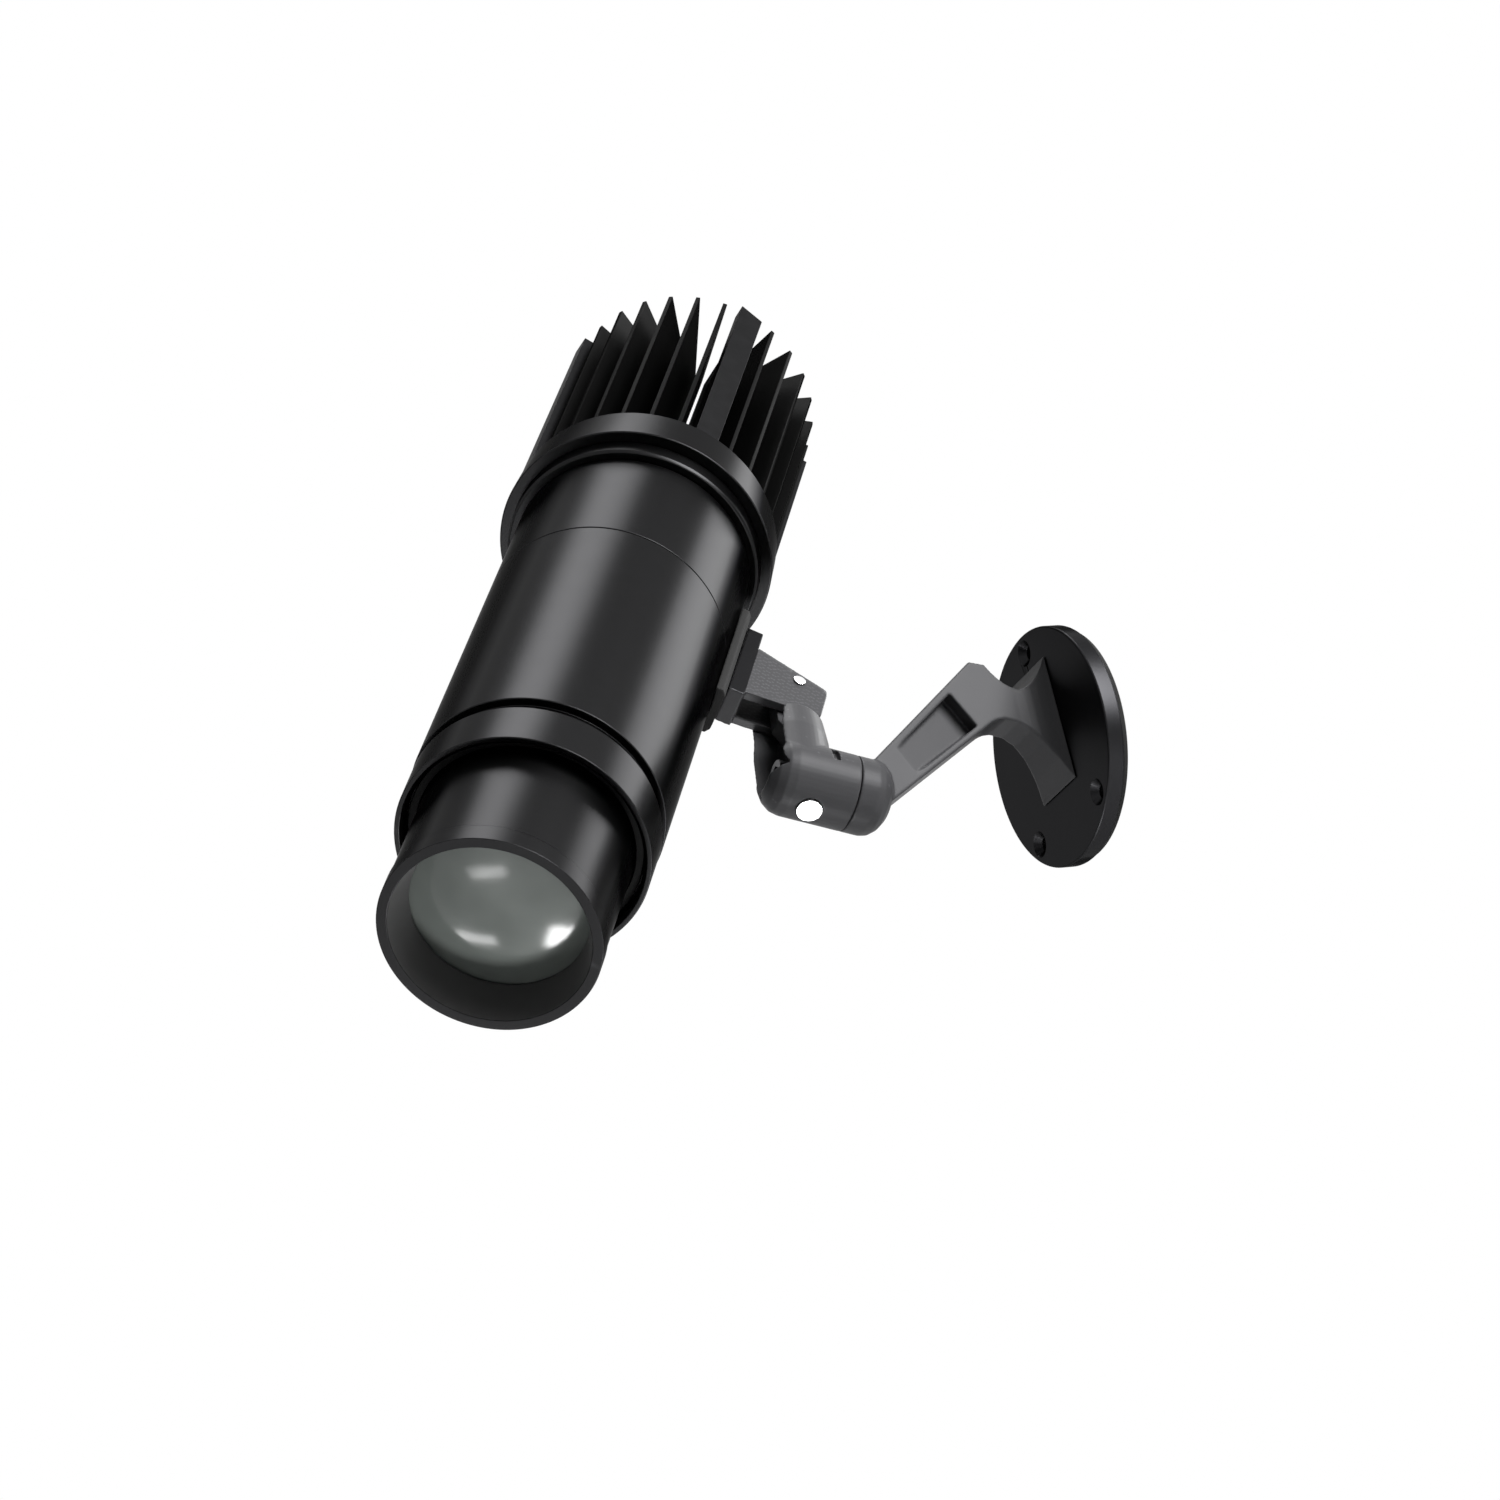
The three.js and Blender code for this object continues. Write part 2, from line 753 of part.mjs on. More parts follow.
function elbowCasting() {
  const body = join(lowerLimb(), upperLimb());
  const wide = 2 * elbowTail;
  const slot = block(-slotFarWidth, slotNearWidth, -wide, slotBack, slotFloor - clearance,
    shoulderHeight + overrun);
  const bore = alongY(turnedRod(swivelBoltRadius + clearance, slotBack - overrun, elbowLength + overrun));
  const headRoom = alongY(turnedRod(slotBottomDrop, -wide, slotBack, innerSegments));
  const lockBore = turnedRod(lockScrewRadius + clearance, -limbRadius - overrun, -swivelBoltRadius,
    innerSegments);
  const groove = turnedRing(stopPinCircle - stopGrooveWidth / 2, stopPinCircle + stopGrooveWidth / 2,
    elbowLength - stopPinHeight - clearance, elbowLength + overrun);
  const land = block(-stopLandWidth / 2, stopLandWidth / 2, -stopPinCircle - stopGrooveWidth,
    -stopPinCircle + stopGrooveWidth, elbowLength - overrun, elbowLength + 2 * overrun);
  const stopGroove = alongY(cut(groove, land));
  const notch = block(limbRadius - notchDepth, limbRadius + overrun, notchPlace - notchWidth, notchPlace,
    -notchHeight / 2, notchHeight / 2);
  notch.rotateY(-notchTurn * degrees);
  const lock = moved(lockBore, -lockScrewOffset, lockScrewPlace, 0);
  return cut(join(cut(body, slot), tongue()), bore, headRoom, lock, stopGroove, notch);
}

piece(elbow, 'elbow_casting', elbowCasting(), 'casting');

function lockScrew() {
  const tip = -(swivelBoltRadius + clearance);
  const screw = turnedRod(lockScrewRadius, -(limbRadius + lockScrewRise), tip, innerSegments);
  return moved(screw, -lockScrewOffset, lockScrewPlace, 0);
}

piece(elbow, 'swivel_lock_screw', lockScrew(), 'steel');

// Lamp frame: origin on the tilt pin, Z rearwards along the lamp, Y towards the bracket

const lamp = new THREE.Group();
lamp.position.set(0, 0, pinHeight);
lamp.rotation.x = -tiltAngle * degrees;
elbow.add(lamp);

for (const [side, name] of [[1, 'tilt_washer_near'], [-1, 'tilt_washer_far']]) {
  const gap = (earGap - tongueWidth) / 2;
  const from = tongueWidth / 2 + gap / 4;
  const to = from + gap / 2;
  const ring = alongX(turnedRing(pinRadius + clearance, tiltWasherRadius, from, to, smallSegments));
  if (side < 0) ring.rotateY(Math.PI);
  piece(lamp, name, ring, 'nylon');
}

// Tube frame: Z rearwards from the front of the main tube

const tube = new THREE.Group();
tube.position.set(0, -pinReach, -pinStation);
lamp.add(tube);

function earShape() {
  const shape = new THREE.Shape();
  const base = stripInner + stripThickness / 2;
  const earRearSlope = (earRearBase - earRearTip) / (earTip - base);
  shape.moveTo(base, earFrontBase);
  shape.lineTo(earTip - earCorner, earFrontTip);
  shape.quadraticCurveTo(earTip, earFrontTip, earTip, earFrontTip + earCorner);
  shape.lineTo(earTip, earRearTip - earCorner);
  shape.quadraticCurveTo(earTip, earRearTip, earTip - earCorner, earRearTip + earCorner * earRearSlope);
  shape.lineTo(base, earRearBase);
  shape.closePath();
  return shape;
}

function stripSolid() {
  const half = bracketWidth / 2;
  const shape = new THREE.Shape();
  shape.moveTo(-half, stripFront);
  shape.lineTo(half, stripFront);
  shape.lineTo(half, stripRear - half);
  shape.absarc(0, stripRear - half, half, 0, Math.PI, false);
  shape.closePath();
  const geometry = new THREE.ExtrudeGeometry(shape, {
    depth: stripThickness,
    bevelEnabled: false,
    curveSegments: curveSteps,
  });
  geometry.rotateX(Math.PI / 2);
  geometry.translate(0, stripInner + stripThickness, 0);
  return closed(geometry);
}

function lampBracket() {
  const near = sideways(earShape(), earGap / 2, bracketWidth / 2);
  const far = sideways(earShape(), -bracketWidth / 2, -earGap / 2);
  const body = join(stripSolid(), near, far);
  const tools = [];
  const bore = alongX(turnedRod(pinRadius + clearance, -bracketWidth, bracketWidth));
  tools.push(moved(bore, 0, pinReach, pinStation));
  for (const station of bracketScrewStations) {
    const seat = stripInner + stripThickness - bracketScrewHeadHeight - clearance;
    const hole = turned([
      [0, stripInner - overrun],
      [bracketScrewRadius + clearance, stripInner - overrun],
      [bracketScrewRadius + clearance, seat],
      [bracketScrewHeadRadius + clearance, seat],
      [bracketScrewHeadRadius + clearance, stripInner + 2 * stripThickness],
      [0, stripInner + 2 * stripThickness],
    ], smallSegments);
    tools.push(moved(alongY(hole), 0, 0, station));
  }
  return cut(body, ...tools);
}

piece(tube, 'lamp_bracket', lampBracket(), 'casting');

function saddle() {
  const top = stripInner - clearance;
  const edgeRadius = tubeRadius + clearance;
  const shape = new THREE.Shape();
  const half = bracketWidth / 2;
  const edgeHeight = Math.sqrt(edgeRadius ** 2 - saddleHalfWidth ** 2) + saddleEdge;
  shape.moveTo(-saddleHalfWidth, 0);
  shape.lineTo(saddleHalfWidth, 0);
  shape.lineTo(saddleHalfWidth, edgeHeight);
  shape.lineTo(half, top);
  shape.lineTo(-half, top);
  shape.lineTo(-saddleHalfWidth, edgeHeight);
  shape.closePath();
  const body = upright(shape, saddleFront, saddleRear);
  const tools = [turnedRod(edgeRadius, saddleFront - overrun, saddleRear + overrun, roundSegments * 2)];
  for (const station of bracketScrewStations) {
    const hole = alongY(turnedRod(bracketScrewRadius + clearance, 0, 2 * tubeRadius));
    tools.push(moved(hole, 0, 0, station));
  }
  return cut(body, ...tools);
}

piece(tube, 'bracket_saddle', saddle(), 'rubber');

for (const [i, station] of bracketScrewStations.entries()) {
  const headTop = stripInner + stripThickness - clearance;
  const neck = headTop - bracketScrewHeadHeight;
  const tip = tubeRadius - tubeWall;
  const screw = turned([
    [0, tip],
    [bracketScrewRadius, tip],
    [bracketScrewRadius, neck],
    [bracketScrewHeadRadius, neck],
    [bracketScrewHeadRadius, headTop],
    [0, headTop],
  ], smallSegments);
  piece(tube, `bracket_screw_${i + 1}`, moved(alongY(screw), 0, 0, station), 'steel');
}

function tiltPin() {
  const neck = bracketWidth / 2 + clearance;
  const headTop = neck + pinHeadRise;
  const end = -(bracketWidth / 2 + nutHeight + clearance);
  const pin = turned([
    [0, end],
    [pinRadius, end],
    [pinRadius, neck],
    [pinHeadRadius, neck],
    [pinHeadRadius, headTop],
    [0, headTop],
  ], smallSegments);
  return moved(alongX(pin), 0, pinReach, pinStation);
}

piece(tube, 'tilt_pin', tiltPin(), 'steel');

const nutFrom = -(bracketWidth / 2 + clearance + nutHeight);
const nut = cut(
  turnedRod(nutRadius, nutFrom, nutFrom + nutHeight, 6),
  turnedRod(pinRadius + clearance, nutFrom - overrun, nutFrom + nutHeight + overrun),
);
piece(tube, 'tilt_nut', moved(alongX(nut), 0, pinReach, pinStation), 'steel');

// Main tube in two lengths, joined by a spigot

function bracketHoles() {
  return bracketScrewStations.map((station) => {
    const hole = alongY(turnedRod(bracketScrewRadius + clearance, tubeRadius / 2, tubeRadius + overrun));
    return moved(hole, 0, 0, station);
  });
}

function frontTube() {
  const rear = tubeJoint - clearance / 2;
  const profile = [
    [noseBore, -noseLength],
    [noseRadius, -noseLength],
    [noseRadius, 0],
    [tubeRadius - tubeEdgeRound, 0],
    [tubeRadius, tubeEdgeRound],
    [tubeRadius, rear],
    [tubeBore, rear],
    [tubeBore, sleeveFront],
    [noseBore, sleeveFront],
  ];
  return turned(profile);
}

function rearTube() {
  const front = tubeJoint + clearance / 2;
  const spigotRadius = tubeBore - clearance;
  const profile = [
    [spigotRadius - spigotWall, front - spigotLength],
    [spigotRadius, front - spigotLength],
    [spigotRadius, front],
    [tubeRadius, front],
    [tubeRadius, tubeLength - tubeEdgeRound],
    [tubeRadius - tubeEdgeRound, tubeLength],
    [tubeBore, tubeLength],
    [tubeBore, front + overrun],
    [spigotRadius - spigotWall, front + overrun],
  ];
  return cut(turned(profile), ...bracketHoles());
}

piece(tube, 'front_tube', frontTube(), 'anodised');
piece(tube, 'rear_tube', rearTube(), 'anodised');

// Guide sleeve that the barrel slides in

const guideSleeve = turnedRing(barrelRadius + runningGap, tubeBore - clearance, sleeveFront + clearance,
  sleeveFront + clearance + sleeveLength);
piece(tube, 'guide_sleeve', guideSleeve, 'innerBlack');

// Clamp wedge and turning lock ring on the nose

const wedgeFront = -(noseLength + clearance + wedgeThickness);
const clampWedge = turned([
  [barrelRadius + runningGap, wedgeFront],
  [ringMouth - 2 * clearance, wedgeFront],
  [ringMouth - clearance, wedgeFront + wedgeThickness],
  [barrelRadius + runningGap, wedgeFront + wedgeThickness],
], roundSegments);
piece(tube, 'clamp_wedge', clampWedge, 'innerBlack');

function lockRing() {
  const profile = [
    [ringMouth + ringChamfer, -ringFront],
    [ringRadius - tubeEdgeRound, -ringFront],
    [ringRadius, -ringFront + tubeEdgeRound],
    [ringRadius, -ringGap - tubeEdgeRound],
    [ringRadius - tubeEdgeRound, -ringGap],
    [noseRadius + runningGap, -ringGap],
    [noseRadius + runningGap, -noseLength],
    [ringMouth, -noseLength - runningGap],
    [ringMouth, -ringFront + ringChamfer],
  ];
  return turned(profile);
}

piece(tube, 'lock_ring', lockRing(), 'anodised');

// Sliding barrel with its two lenses

function lensBarrel() {
  const front = -barrelFront;
  const lipFront = front + hoodDepth;
  const lipRear = lipFront + lipThickness;
  const profile = [
    [rimRadius - rimLip, front],
    [rimRadius - tubeEdgeRound, front],
    [rimRadius, front + tubeEdgeRound],
    [rimRadius, front + rimLength],
    [barrelRadius, front + rimLength + clearance],
    [barrelRadius, barrelRear],
    [barrelBore, barrelRear],
    [barrelBore, lipRear],
    [hoodBore, lipRear],
    [hoodBore, lipFront],
  ];
  return turned(profile);
}

piece(tube, 'lens_barrel', lensBarrel(), 'anodised');

const lipBack = -barrelFront + hoodDepth + lipThickness;
const lensFront = edgeBehind(lipBack, hoodBore, lensRadius, lensCurve);
piece(tube, 'front_lens', domedLens(lensRadius, lensEdge, lensCurve, lensFront, roundSegments), 'glass');

const retainerFrom = lensFront + lensEdge + clearance;
const retainerOuter = barrelBore - clearance;
const retainerInner = retainerOuter - retainerWidth;
const frontRetainer = turnedRing(retainerInner, retainerOuter, retainerFrom, retainerFrom + retainerLength,
  innerSegments);
piece(tube, 'front_lens_retainer', frontRetainer, 'innerBlack');

const spacerFrom = retainerFrom + retainerLength + clearance;
const spacerInner = retainerOuter - retainerWidth / 2;
const spacer = turnedRing(spacerInner, retainerOuter, spacerFrom, -spacerEnd, innerSegments);
piece(tube, 'objective_spacer', spacer, 'innerBlack');

const rearLensFront = edgeBehind(-spacerEnd, spacerInner, lensRadius, rearLensCurve);
const rearLens = domedLens(lensRadius, rearLensEdge, rearLensCurve, rearLensFront);
piece(tube, 'rear_objective_lens', rearLens, 'glass');

const rearRetainerFrom = rearLensFront + rearLensEdge + clearance;
const rearRetainer = turnedRing(retainerInner, retainerOuter, rearRetainerFrom,
  rearRetainerFrom + retainerLength, innerSegments);
piece(tube, 'rear_lens_retainer', rearRetainer, 'innerBlack');

// Gobo carrier, the glass gobo and its retaining ring

const carrierRear = carrierFront + carrierThickness;
const goboPocket = goboRadius + clearance;
const carrier = turned([
  [goboWindow, carrierFront],
  [tubeBore - clearance, carrierFront],
  [tubeBore - clearance, carrierRear],
  [goboPocket, carrierRear],
  [goboPocket, carrierFront + goboSeat],
  [goboWindow, carrierFront + goboSeat],
], innerSegments);
piece(tube, 'gobo_carrier', carrier, 'innerBlack');

const goboFrom = carrierFront + goboSeat + clearance;
const gobo = turnedRod(goboRadius, goboFrom, goboFrom + goboThickness, innerSegments);
piece(tube, 'gobo_disc', gobo, 'glass');

const goboRingFrom = goboFrom + goboThickness + clearance;
const goboRing = turnedRing(goboWindow, goboRadius, goboRingFrom, carrierRear, innerSegments);
piece(tube, 'gobo_retaining_ring', goboRing, 'steel');

// Condenser: two domed lenses in a holder behind the gobo, both with the dome forward

const holderOuter = tubeBore - clearance;
const holderBore = condenserRadius + clearance;
const condenserLip = holderBore - condenserHolderWall;
const firstSeat = condenserFront + condenserLipDepth;
const firstEdge = edgeBehind(firstSeat, condenserLip, condenserRadius, condenserCurve);
const condenserSpacerFrom = firstEdge + condenserEdge + clearance;
const condenserSpacerInner = condenserRadius - condenserHolderWall / 2;
const condenserSpacerLength = sag(condenserRearCurve, condenserSpacerInner) + condenserDomeGap;
const condenserSpacerRear = condenserSpacerFrom + condenserSpacerLength;
const secondEdge = edgeBehind(condenserSpacerRear, condenserSpacerInner, condenserRadius, condenserRearCurve);
const condenserRetainerFrom = secondEdge + condenserRearEdge + clearance;
const holderRear = condenserRetainerFrom + retainerLength;
const condenserHolder = turned([
  [condenserLip, condenserFront],
  [holderOuter, condenserFront],
  [holderOuter, holderRear],
  [holderBore, holderRear],
  [holderBore, firstSeat],
  [condenserLip, firstSeat],
], innerSegments);
piece(tube, 'condenser_holder', condenserHolder, 'innerBlack');

const firstLens = domedLens(condenserRadius, condenserEdge, condenserCurve, firstEdge);
piece(tube, 'condenser_lens_front', firstLens, 'glass');

const condenserSpacer = turnedRing(condenserSpacerInner, condenserRadius, condenserSpacerFrom,
  condenserSpacerRear, innerSegments);
piece(tube, 'condenser_spacer', condenserSpacer, 'innerBlack');

const secondLens = domedLens(condenserRadius, condenserRearEdge, condenserRearCurve, secondEdge);
piece(tube, 'condenser_lens_rear', secondLens, 'glass');

const condenserRetainer = turnedRing(condenserRadius - condenserHolderWall, condenserRadius,
  condenserRetainerFrom, holderRear, innerSegments);
piece(tube, 'condenser_retainer', condenserRetainer, 'innerBlack');

// Light source on the heat sink's boss

const boardRear = bossFront - clearance;
const boardFront = boardRear - boardThickness;
const boardScrewAngles = [0, 90, 180, 270];

function boardScrewPlace(angle) {
  return [boardScrewCircle * Math.cos(angle * degrees), boardScrewCircle * Math.sin(angle * degrees)];
}

function board() {
  const tools = boardScrewAngles.map((angle) => {
    const [x, y] = boardScrewPlace(angle);
    return moved(turnedRod(boardScrewRadius + clearance, boardFront - overrun, boardRear + overrun), x, y, 0);
  });
  return cut(turnedRod(boardRadius, boardFront, boardRear, innerSegments), ...tools);
}

piece(tube, 'led_board', board(), 'board');

const emitterRear = boardFront - clearance;
const emitter = turnedRod(emitterRadius, emitterRear - emitterThickness, emitterRear, innerSegments);
piece(tube, 'led_emitter', emitter, 'phosphor');

const frameHalf = emitterFrameSize / 2;
const emitterFrame = cut(
  block(-frameHalf, frameHalf, -frameHalf, frameHalf, emitterRear - emitterFrameHeight, emitterRear),
  turned([
    [0, emitterRear - emitterFrameHeight - overrun],
    [emitterRadius + emitterFrameHeight + overrun, emitterRear - emitterFrameHeight - overrun],
    [emitterRadius + clearance, emitterRear],
    [emitterRadius + clearance, emitterRear + overrun],
    [0, emitterRear + overrun],
  ], innerSegments),
);
piece(tube, 'led_frame', emitterFrame, 'nylon');

for (const [i, angle] of boardScrewAngles.entries()) {
  const neck = boardFront - clearance;
  const [x, y] = boardScrewPlace(angle);
  const screw = turned([
    [0, neck - boardScrewHeadHeight],
    [boardScrewHeadRadius, neck - boardScrewHeadHeight],
    [boardScrewHeadRadius, neck],
    [boardScrewRadius, neck],
    [boardScrewRadius, neck + boardScrewLength],
    [0, neck + boardScrewLength],
  ], smallSegments);
  piece(tube, `board_screw_${i + 1}`, moved(screw, x, y, 0), 'steel');
}

const collar = turned([
  [bossRadius + clearance, collarFront],
  [collarRadius - collarTaper, collarFront],
  [collarRadius, collarRear],
  [bossRadius + clearance, collarRear],
]);
piece(tube, 'collar_ring', collar, 'anodised');

// Heat sink: boss, flange and a crown of radial fins with four wide ribs

function flangeSolid() {
  const floorRear = flangeFront + flangeFloor;
  const rearRadius = flangeRadius - flangeTaper;
  return turned([
    [0, bossFront],
    [bossRadius, bossFront],
    [bossRadius, flangeFront],
    [flangeRadius - flangeEdgeRound, flangeFront],
    [flangeRadius, flangeFront + flangeEdgeRound],
    [rearRadius, flangeRear],
    [rearRadius - flangeWall, flangeRear],
    [rearRadius - flangeWall, floorRear],
    [0, floorRear],
  ]);
}

function finCrown() {
  const root = flangeFront + flangeFloor - overrun;
  const blades = [];
  const pitch = 90 / (finsPerQuarter + 1);
  for (let quarter = 0; quarter < 4; quarter += 1) {
    for (let i = 0; i <= finsPerQuarter; i += 1) {
      const turn = (90 * quarter + pitch * i + crownTurn) * degrees;
      const half = finThickness / 2;
      const blade = i === 0
        ? ribBlade(root)
        : block(finInner, finOuter, -half, half, root, finRear);
      blade.rotateZ(turn);
      blades.push(blade);
    }
  }
  return blades;
}

// A wide rib is a thin blade with a broad outer strip, sloped at its rear end

function ribBlade(root) {
  const half = ribWidth / 2;
  const strip = block(ribOuter - ribDepth, ribOuter, -half, half, root, finRear);
  const web = block(finInner, ribOuter - ribDepth / 2, -finThickness / 2, finThickness / 2, root, finRear);
  const rib = join(strip, web);
  const slope = new THREE.Shape();
  slope.moveTo(-half - overrun, finRear + overrun);
  slope.lineTo(-half - overrun, finRear);
  slope.lineTo(0, finRear);
  slope.lineTo(half + overrun, finRear - ribRearSlope);
  slope.lineTo(half + overrun, finRear + overrun);
  slope.closePath();
  const wedge = new THREE.ExtrudeGeometry(slope, { depth: ribOuter, bevelEnabled: false });
  wedge.rotateY(Math.PI / 2);
  wedge.rotateX(Math.PI / 2);
  return cut(rib, closed(wedge));
}

function heatSink() {
  const tools = boardScrewAngles.map((angle) => {
    const [x, y] = boardScrewPlace(angle);
    const deep = boardFront - clearance + boardScrewLength + clearance;
    return moved(turnedRod(boardScrewRadius + clearance, bossFront - overrun, deep), x, y, 0);
  });
  return cut(join(flangeSolid(), ...finCrown()), ...tools);
}

piece(tube, 'heat_sink', heatSink(), 'anodised');

export default projector;
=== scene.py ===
import json
import math

import bpy
from mathutils import Matrix, Vector


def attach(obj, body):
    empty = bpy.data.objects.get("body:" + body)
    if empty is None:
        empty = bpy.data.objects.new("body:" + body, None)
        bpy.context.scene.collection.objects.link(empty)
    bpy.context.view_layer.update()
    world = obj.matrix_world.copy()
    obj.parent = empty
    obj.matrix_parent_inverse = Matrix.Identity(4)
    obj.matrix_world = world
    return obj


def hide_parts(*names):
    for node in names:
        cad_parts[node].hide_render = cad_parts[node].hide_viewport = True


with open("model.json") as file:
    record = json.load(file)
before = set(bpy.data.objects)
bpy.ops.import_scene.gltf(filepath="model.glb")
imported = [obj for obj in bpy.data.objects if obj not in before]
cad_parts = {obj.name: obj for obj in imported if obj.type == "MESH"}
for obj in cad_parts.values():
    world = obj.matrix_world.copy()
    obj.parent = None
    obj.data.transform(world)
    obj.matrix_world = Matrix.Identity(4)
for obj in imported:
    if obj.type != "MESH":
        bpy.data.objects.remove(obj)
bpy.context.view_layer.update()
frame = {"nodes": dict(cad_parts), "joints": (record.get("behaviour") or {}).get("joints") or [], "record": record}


# The view of the photograph. A long lens looks at the lamp from the arm's right, from 20
# degrees below, and the camera is rolled by 13 degrees.

view_right = Vector((0.3539, 0.9097, -0.2173))
view_up = Vector((0.4002, 0.0628, 0.9142))
view_place = Vector((1.1142, -0.6559, -0.4443))
view_lens = 98.93
sensor_width = 36.0
nearest_seen = 0.02

camera_data = bpy.data.cameras.new("photo_camera")
camera_data.sensor_width = sensor_width
camera_data.lens = view_lens
camera_data.clip_start = nearest_seen
camera = bpy.data.objects.new("photo_camera", camera_data)
bpy.context.scene.collection.objects.link(camera)
turn = Matrix((view_right, view_up, view_right.cross(view_up))).transposed()
camera.matrix_world = Matrix.Translation(view_place) @ turn.to_4x4()
bpy.context.scene.camera = camera


# Wall plate: a round steel plate, 6 mm thick, painted satin black. Its edges are turned with
# a small round, and three countersunk holes near the rim take the wall screws.

MM = 0.001
plate_radius = 40.0
plate_back = 2.0
plate_front = 8.0
plate_edge = 0.7
screw_circle = 34.0
screw_hole = 2.3
screw_head = 4.4
screw_angles = (90.0, -49.0, -131.0)
sink_start = 5.8
cut_past = 1.0
hole_sides = 40
fine_sides = 160
out_of_wall = Matrix.Rotation(math.radians(90.0), 4, "X")

pole_radius = 0.02
merge_gap = 0.05
sharp_angle = 32.0


def alone(piece):
    bpy.ops.object.select_all(action="DESELECT")
    piece.select_set(True)
    bpy.context.view_layer.objects.active = piece


def turned(name, profile, segments=128):
    """A solid turned about Z from (radius, station) pairs in millimetres."""
    bpy.ops.object.select_all(action="DESELECT")
    first_radius, first_station = profile[0]
    start = max(first_radius, pole_radius)
    bpy.ops.mesh.primitive_circle_add(
        vertices=segments, radius=start * MM, location=(0, 0, first_station * MM)
    )
    piece = bpy.context.object
    piece.name = name
    bpy.ops.object.transform_apply(location=True)
    bpy.ops.object.mode_set(mode="EDIT")
    bpy.ops.mesh.select_all(action="SELECT")
    radius, station = start, first_station
    stops = list(profile[1:])
    if first_radius > 0:
        stops.append(profile[0])
    for next_radius, next_station in stops:
        next_radius = max(next_radius, pole_radius)
        rise = (next_station - station) * MM
        bpy.ops.mesh.extrude_edges_move(TRANSFORM_OT_translate={"value": (0, 0, rise)})
        grow = next_radius / radius
        bpy.ops.transform.resize(
            value=(grow, grow, 1.0), center_override=(0, 0, next_station * MM)
        )
        radius, station = next_radius, next_station
    bpy.ops.mesh.select_all(action="SELECT")
    bpy.ops.mesh.remove_doubles(threshold=merge_gap * MM)
    bpy.ops.mesh.normals_make_consistent(inside=False)
    bpy.ops.object.mode_set(mode="OBJECT")
    return piece


def settle(piece, place):
    """Puts a piece that was made at the origin in its place, which stays in its mesh."""
    alone(piece)
    piece.matrix_world = place @ piece.matrix_world
    bpy.ops.object.transform_apply(location=True, rotation=True, scale=True)
    return piece


def copied(piece):
    """A copy of a piece, with its own mesh."""
    twin = piece.copy()
    twin.data = piece.data.copy()
    bpy.context.scene.collection.objects.link(twin)
    return twin


def cut_away(piece, cutter):
    alone(piece)
    cut = piece.modifiers.new("cut", "BOOLEAN")
    cut.operation = "DIFFERENCE"
    cut.solver = "EXACT"
    cut.object = cutter
    bpy.ops.object.modifier_apply(modifier="cut")
    bpy.data.objects.remove(cutter)
    return piece


def drill(piece, profile):
    """Cuts the three screw holes with copies of one turned cutter."""
    cutter = turned("screw_hole", profile, hole_sides)
    for angle in screw_angles:
        across = screw_circle * MM * math.cos(math.radians(angle))
        along = screw_circle * MM * math.sin(math.radians(angle))
        hole = settle(copied(cutter), Matrix.Translation((across, along, 0)))
        cut_away(piece, hole)
    bpy.data.objects.remove(cutter)


def polish(piece, angle=sharp_angle):
    """Smooth rounds beside flats that stay flat."""
    alone(piece)
    bpy.ops.mesh.customdata_custom_splitnormals_clear()
    bpy.ops.object.shade_smooth_by_angle(angle=math.radians(angle))
    flats = piece.modifiers.new("flats", "WEIGHTED_NORMAL")
    flats.keep_sharp = True
    bpy.ops.object.modifier_apply(modifier="flats")


def soften(piece, width, segments=3, angle=sharp_angle):
    """Breaks the sharp edges with a small round, as on every machined or cast piece."""
    alone(piece)
    bevel = piece.modifiers.new("edge", "BEVEL")
    bevel.width = width * MM
    bevel.segments = segments
    bevel.limit_method = "ANGLE"
    bevel.angle_limit = math.radians(angle)
    bevel.harden_normals = False
    bpy.ops.object.modifier_apply(modifier="edge")
    polish(piece, angle)
    return piece


def spread(nodes, link, source, target, low, high, start=0.0, end=1.0):
    """Feeds a socket with a value that goes from low to high as its source goes from
    start to end."""
    reach = nodes.new("ShaderNodeMapRange")
    reach.inputs["From Min"].default_value = start
    reach.inputs["From Max"].default_value = end
    reach.inputs["To Min"].default_value = low
    reach.inputs["To Max"].default_value = high
    link(source, reach.inputs["Value"])
    link(reach.outputs["Result"], target)


def blend(nodes, link, mask, target, plain, marked):
    """Feeds a socket with a colour that goes from plain to marked as the mask rises."""
    tint = nodes.new("ShaderNodeMix")
    tint.data_type = "RGBA"
    tint.inputs["A"].default_value = (*plain, 1.0)
    tint.inputs["B"].default_value = (*marked, 1.0)
    link(mask, tint.inputs["Factor"])
    link(tint.outputs["Result"], target)


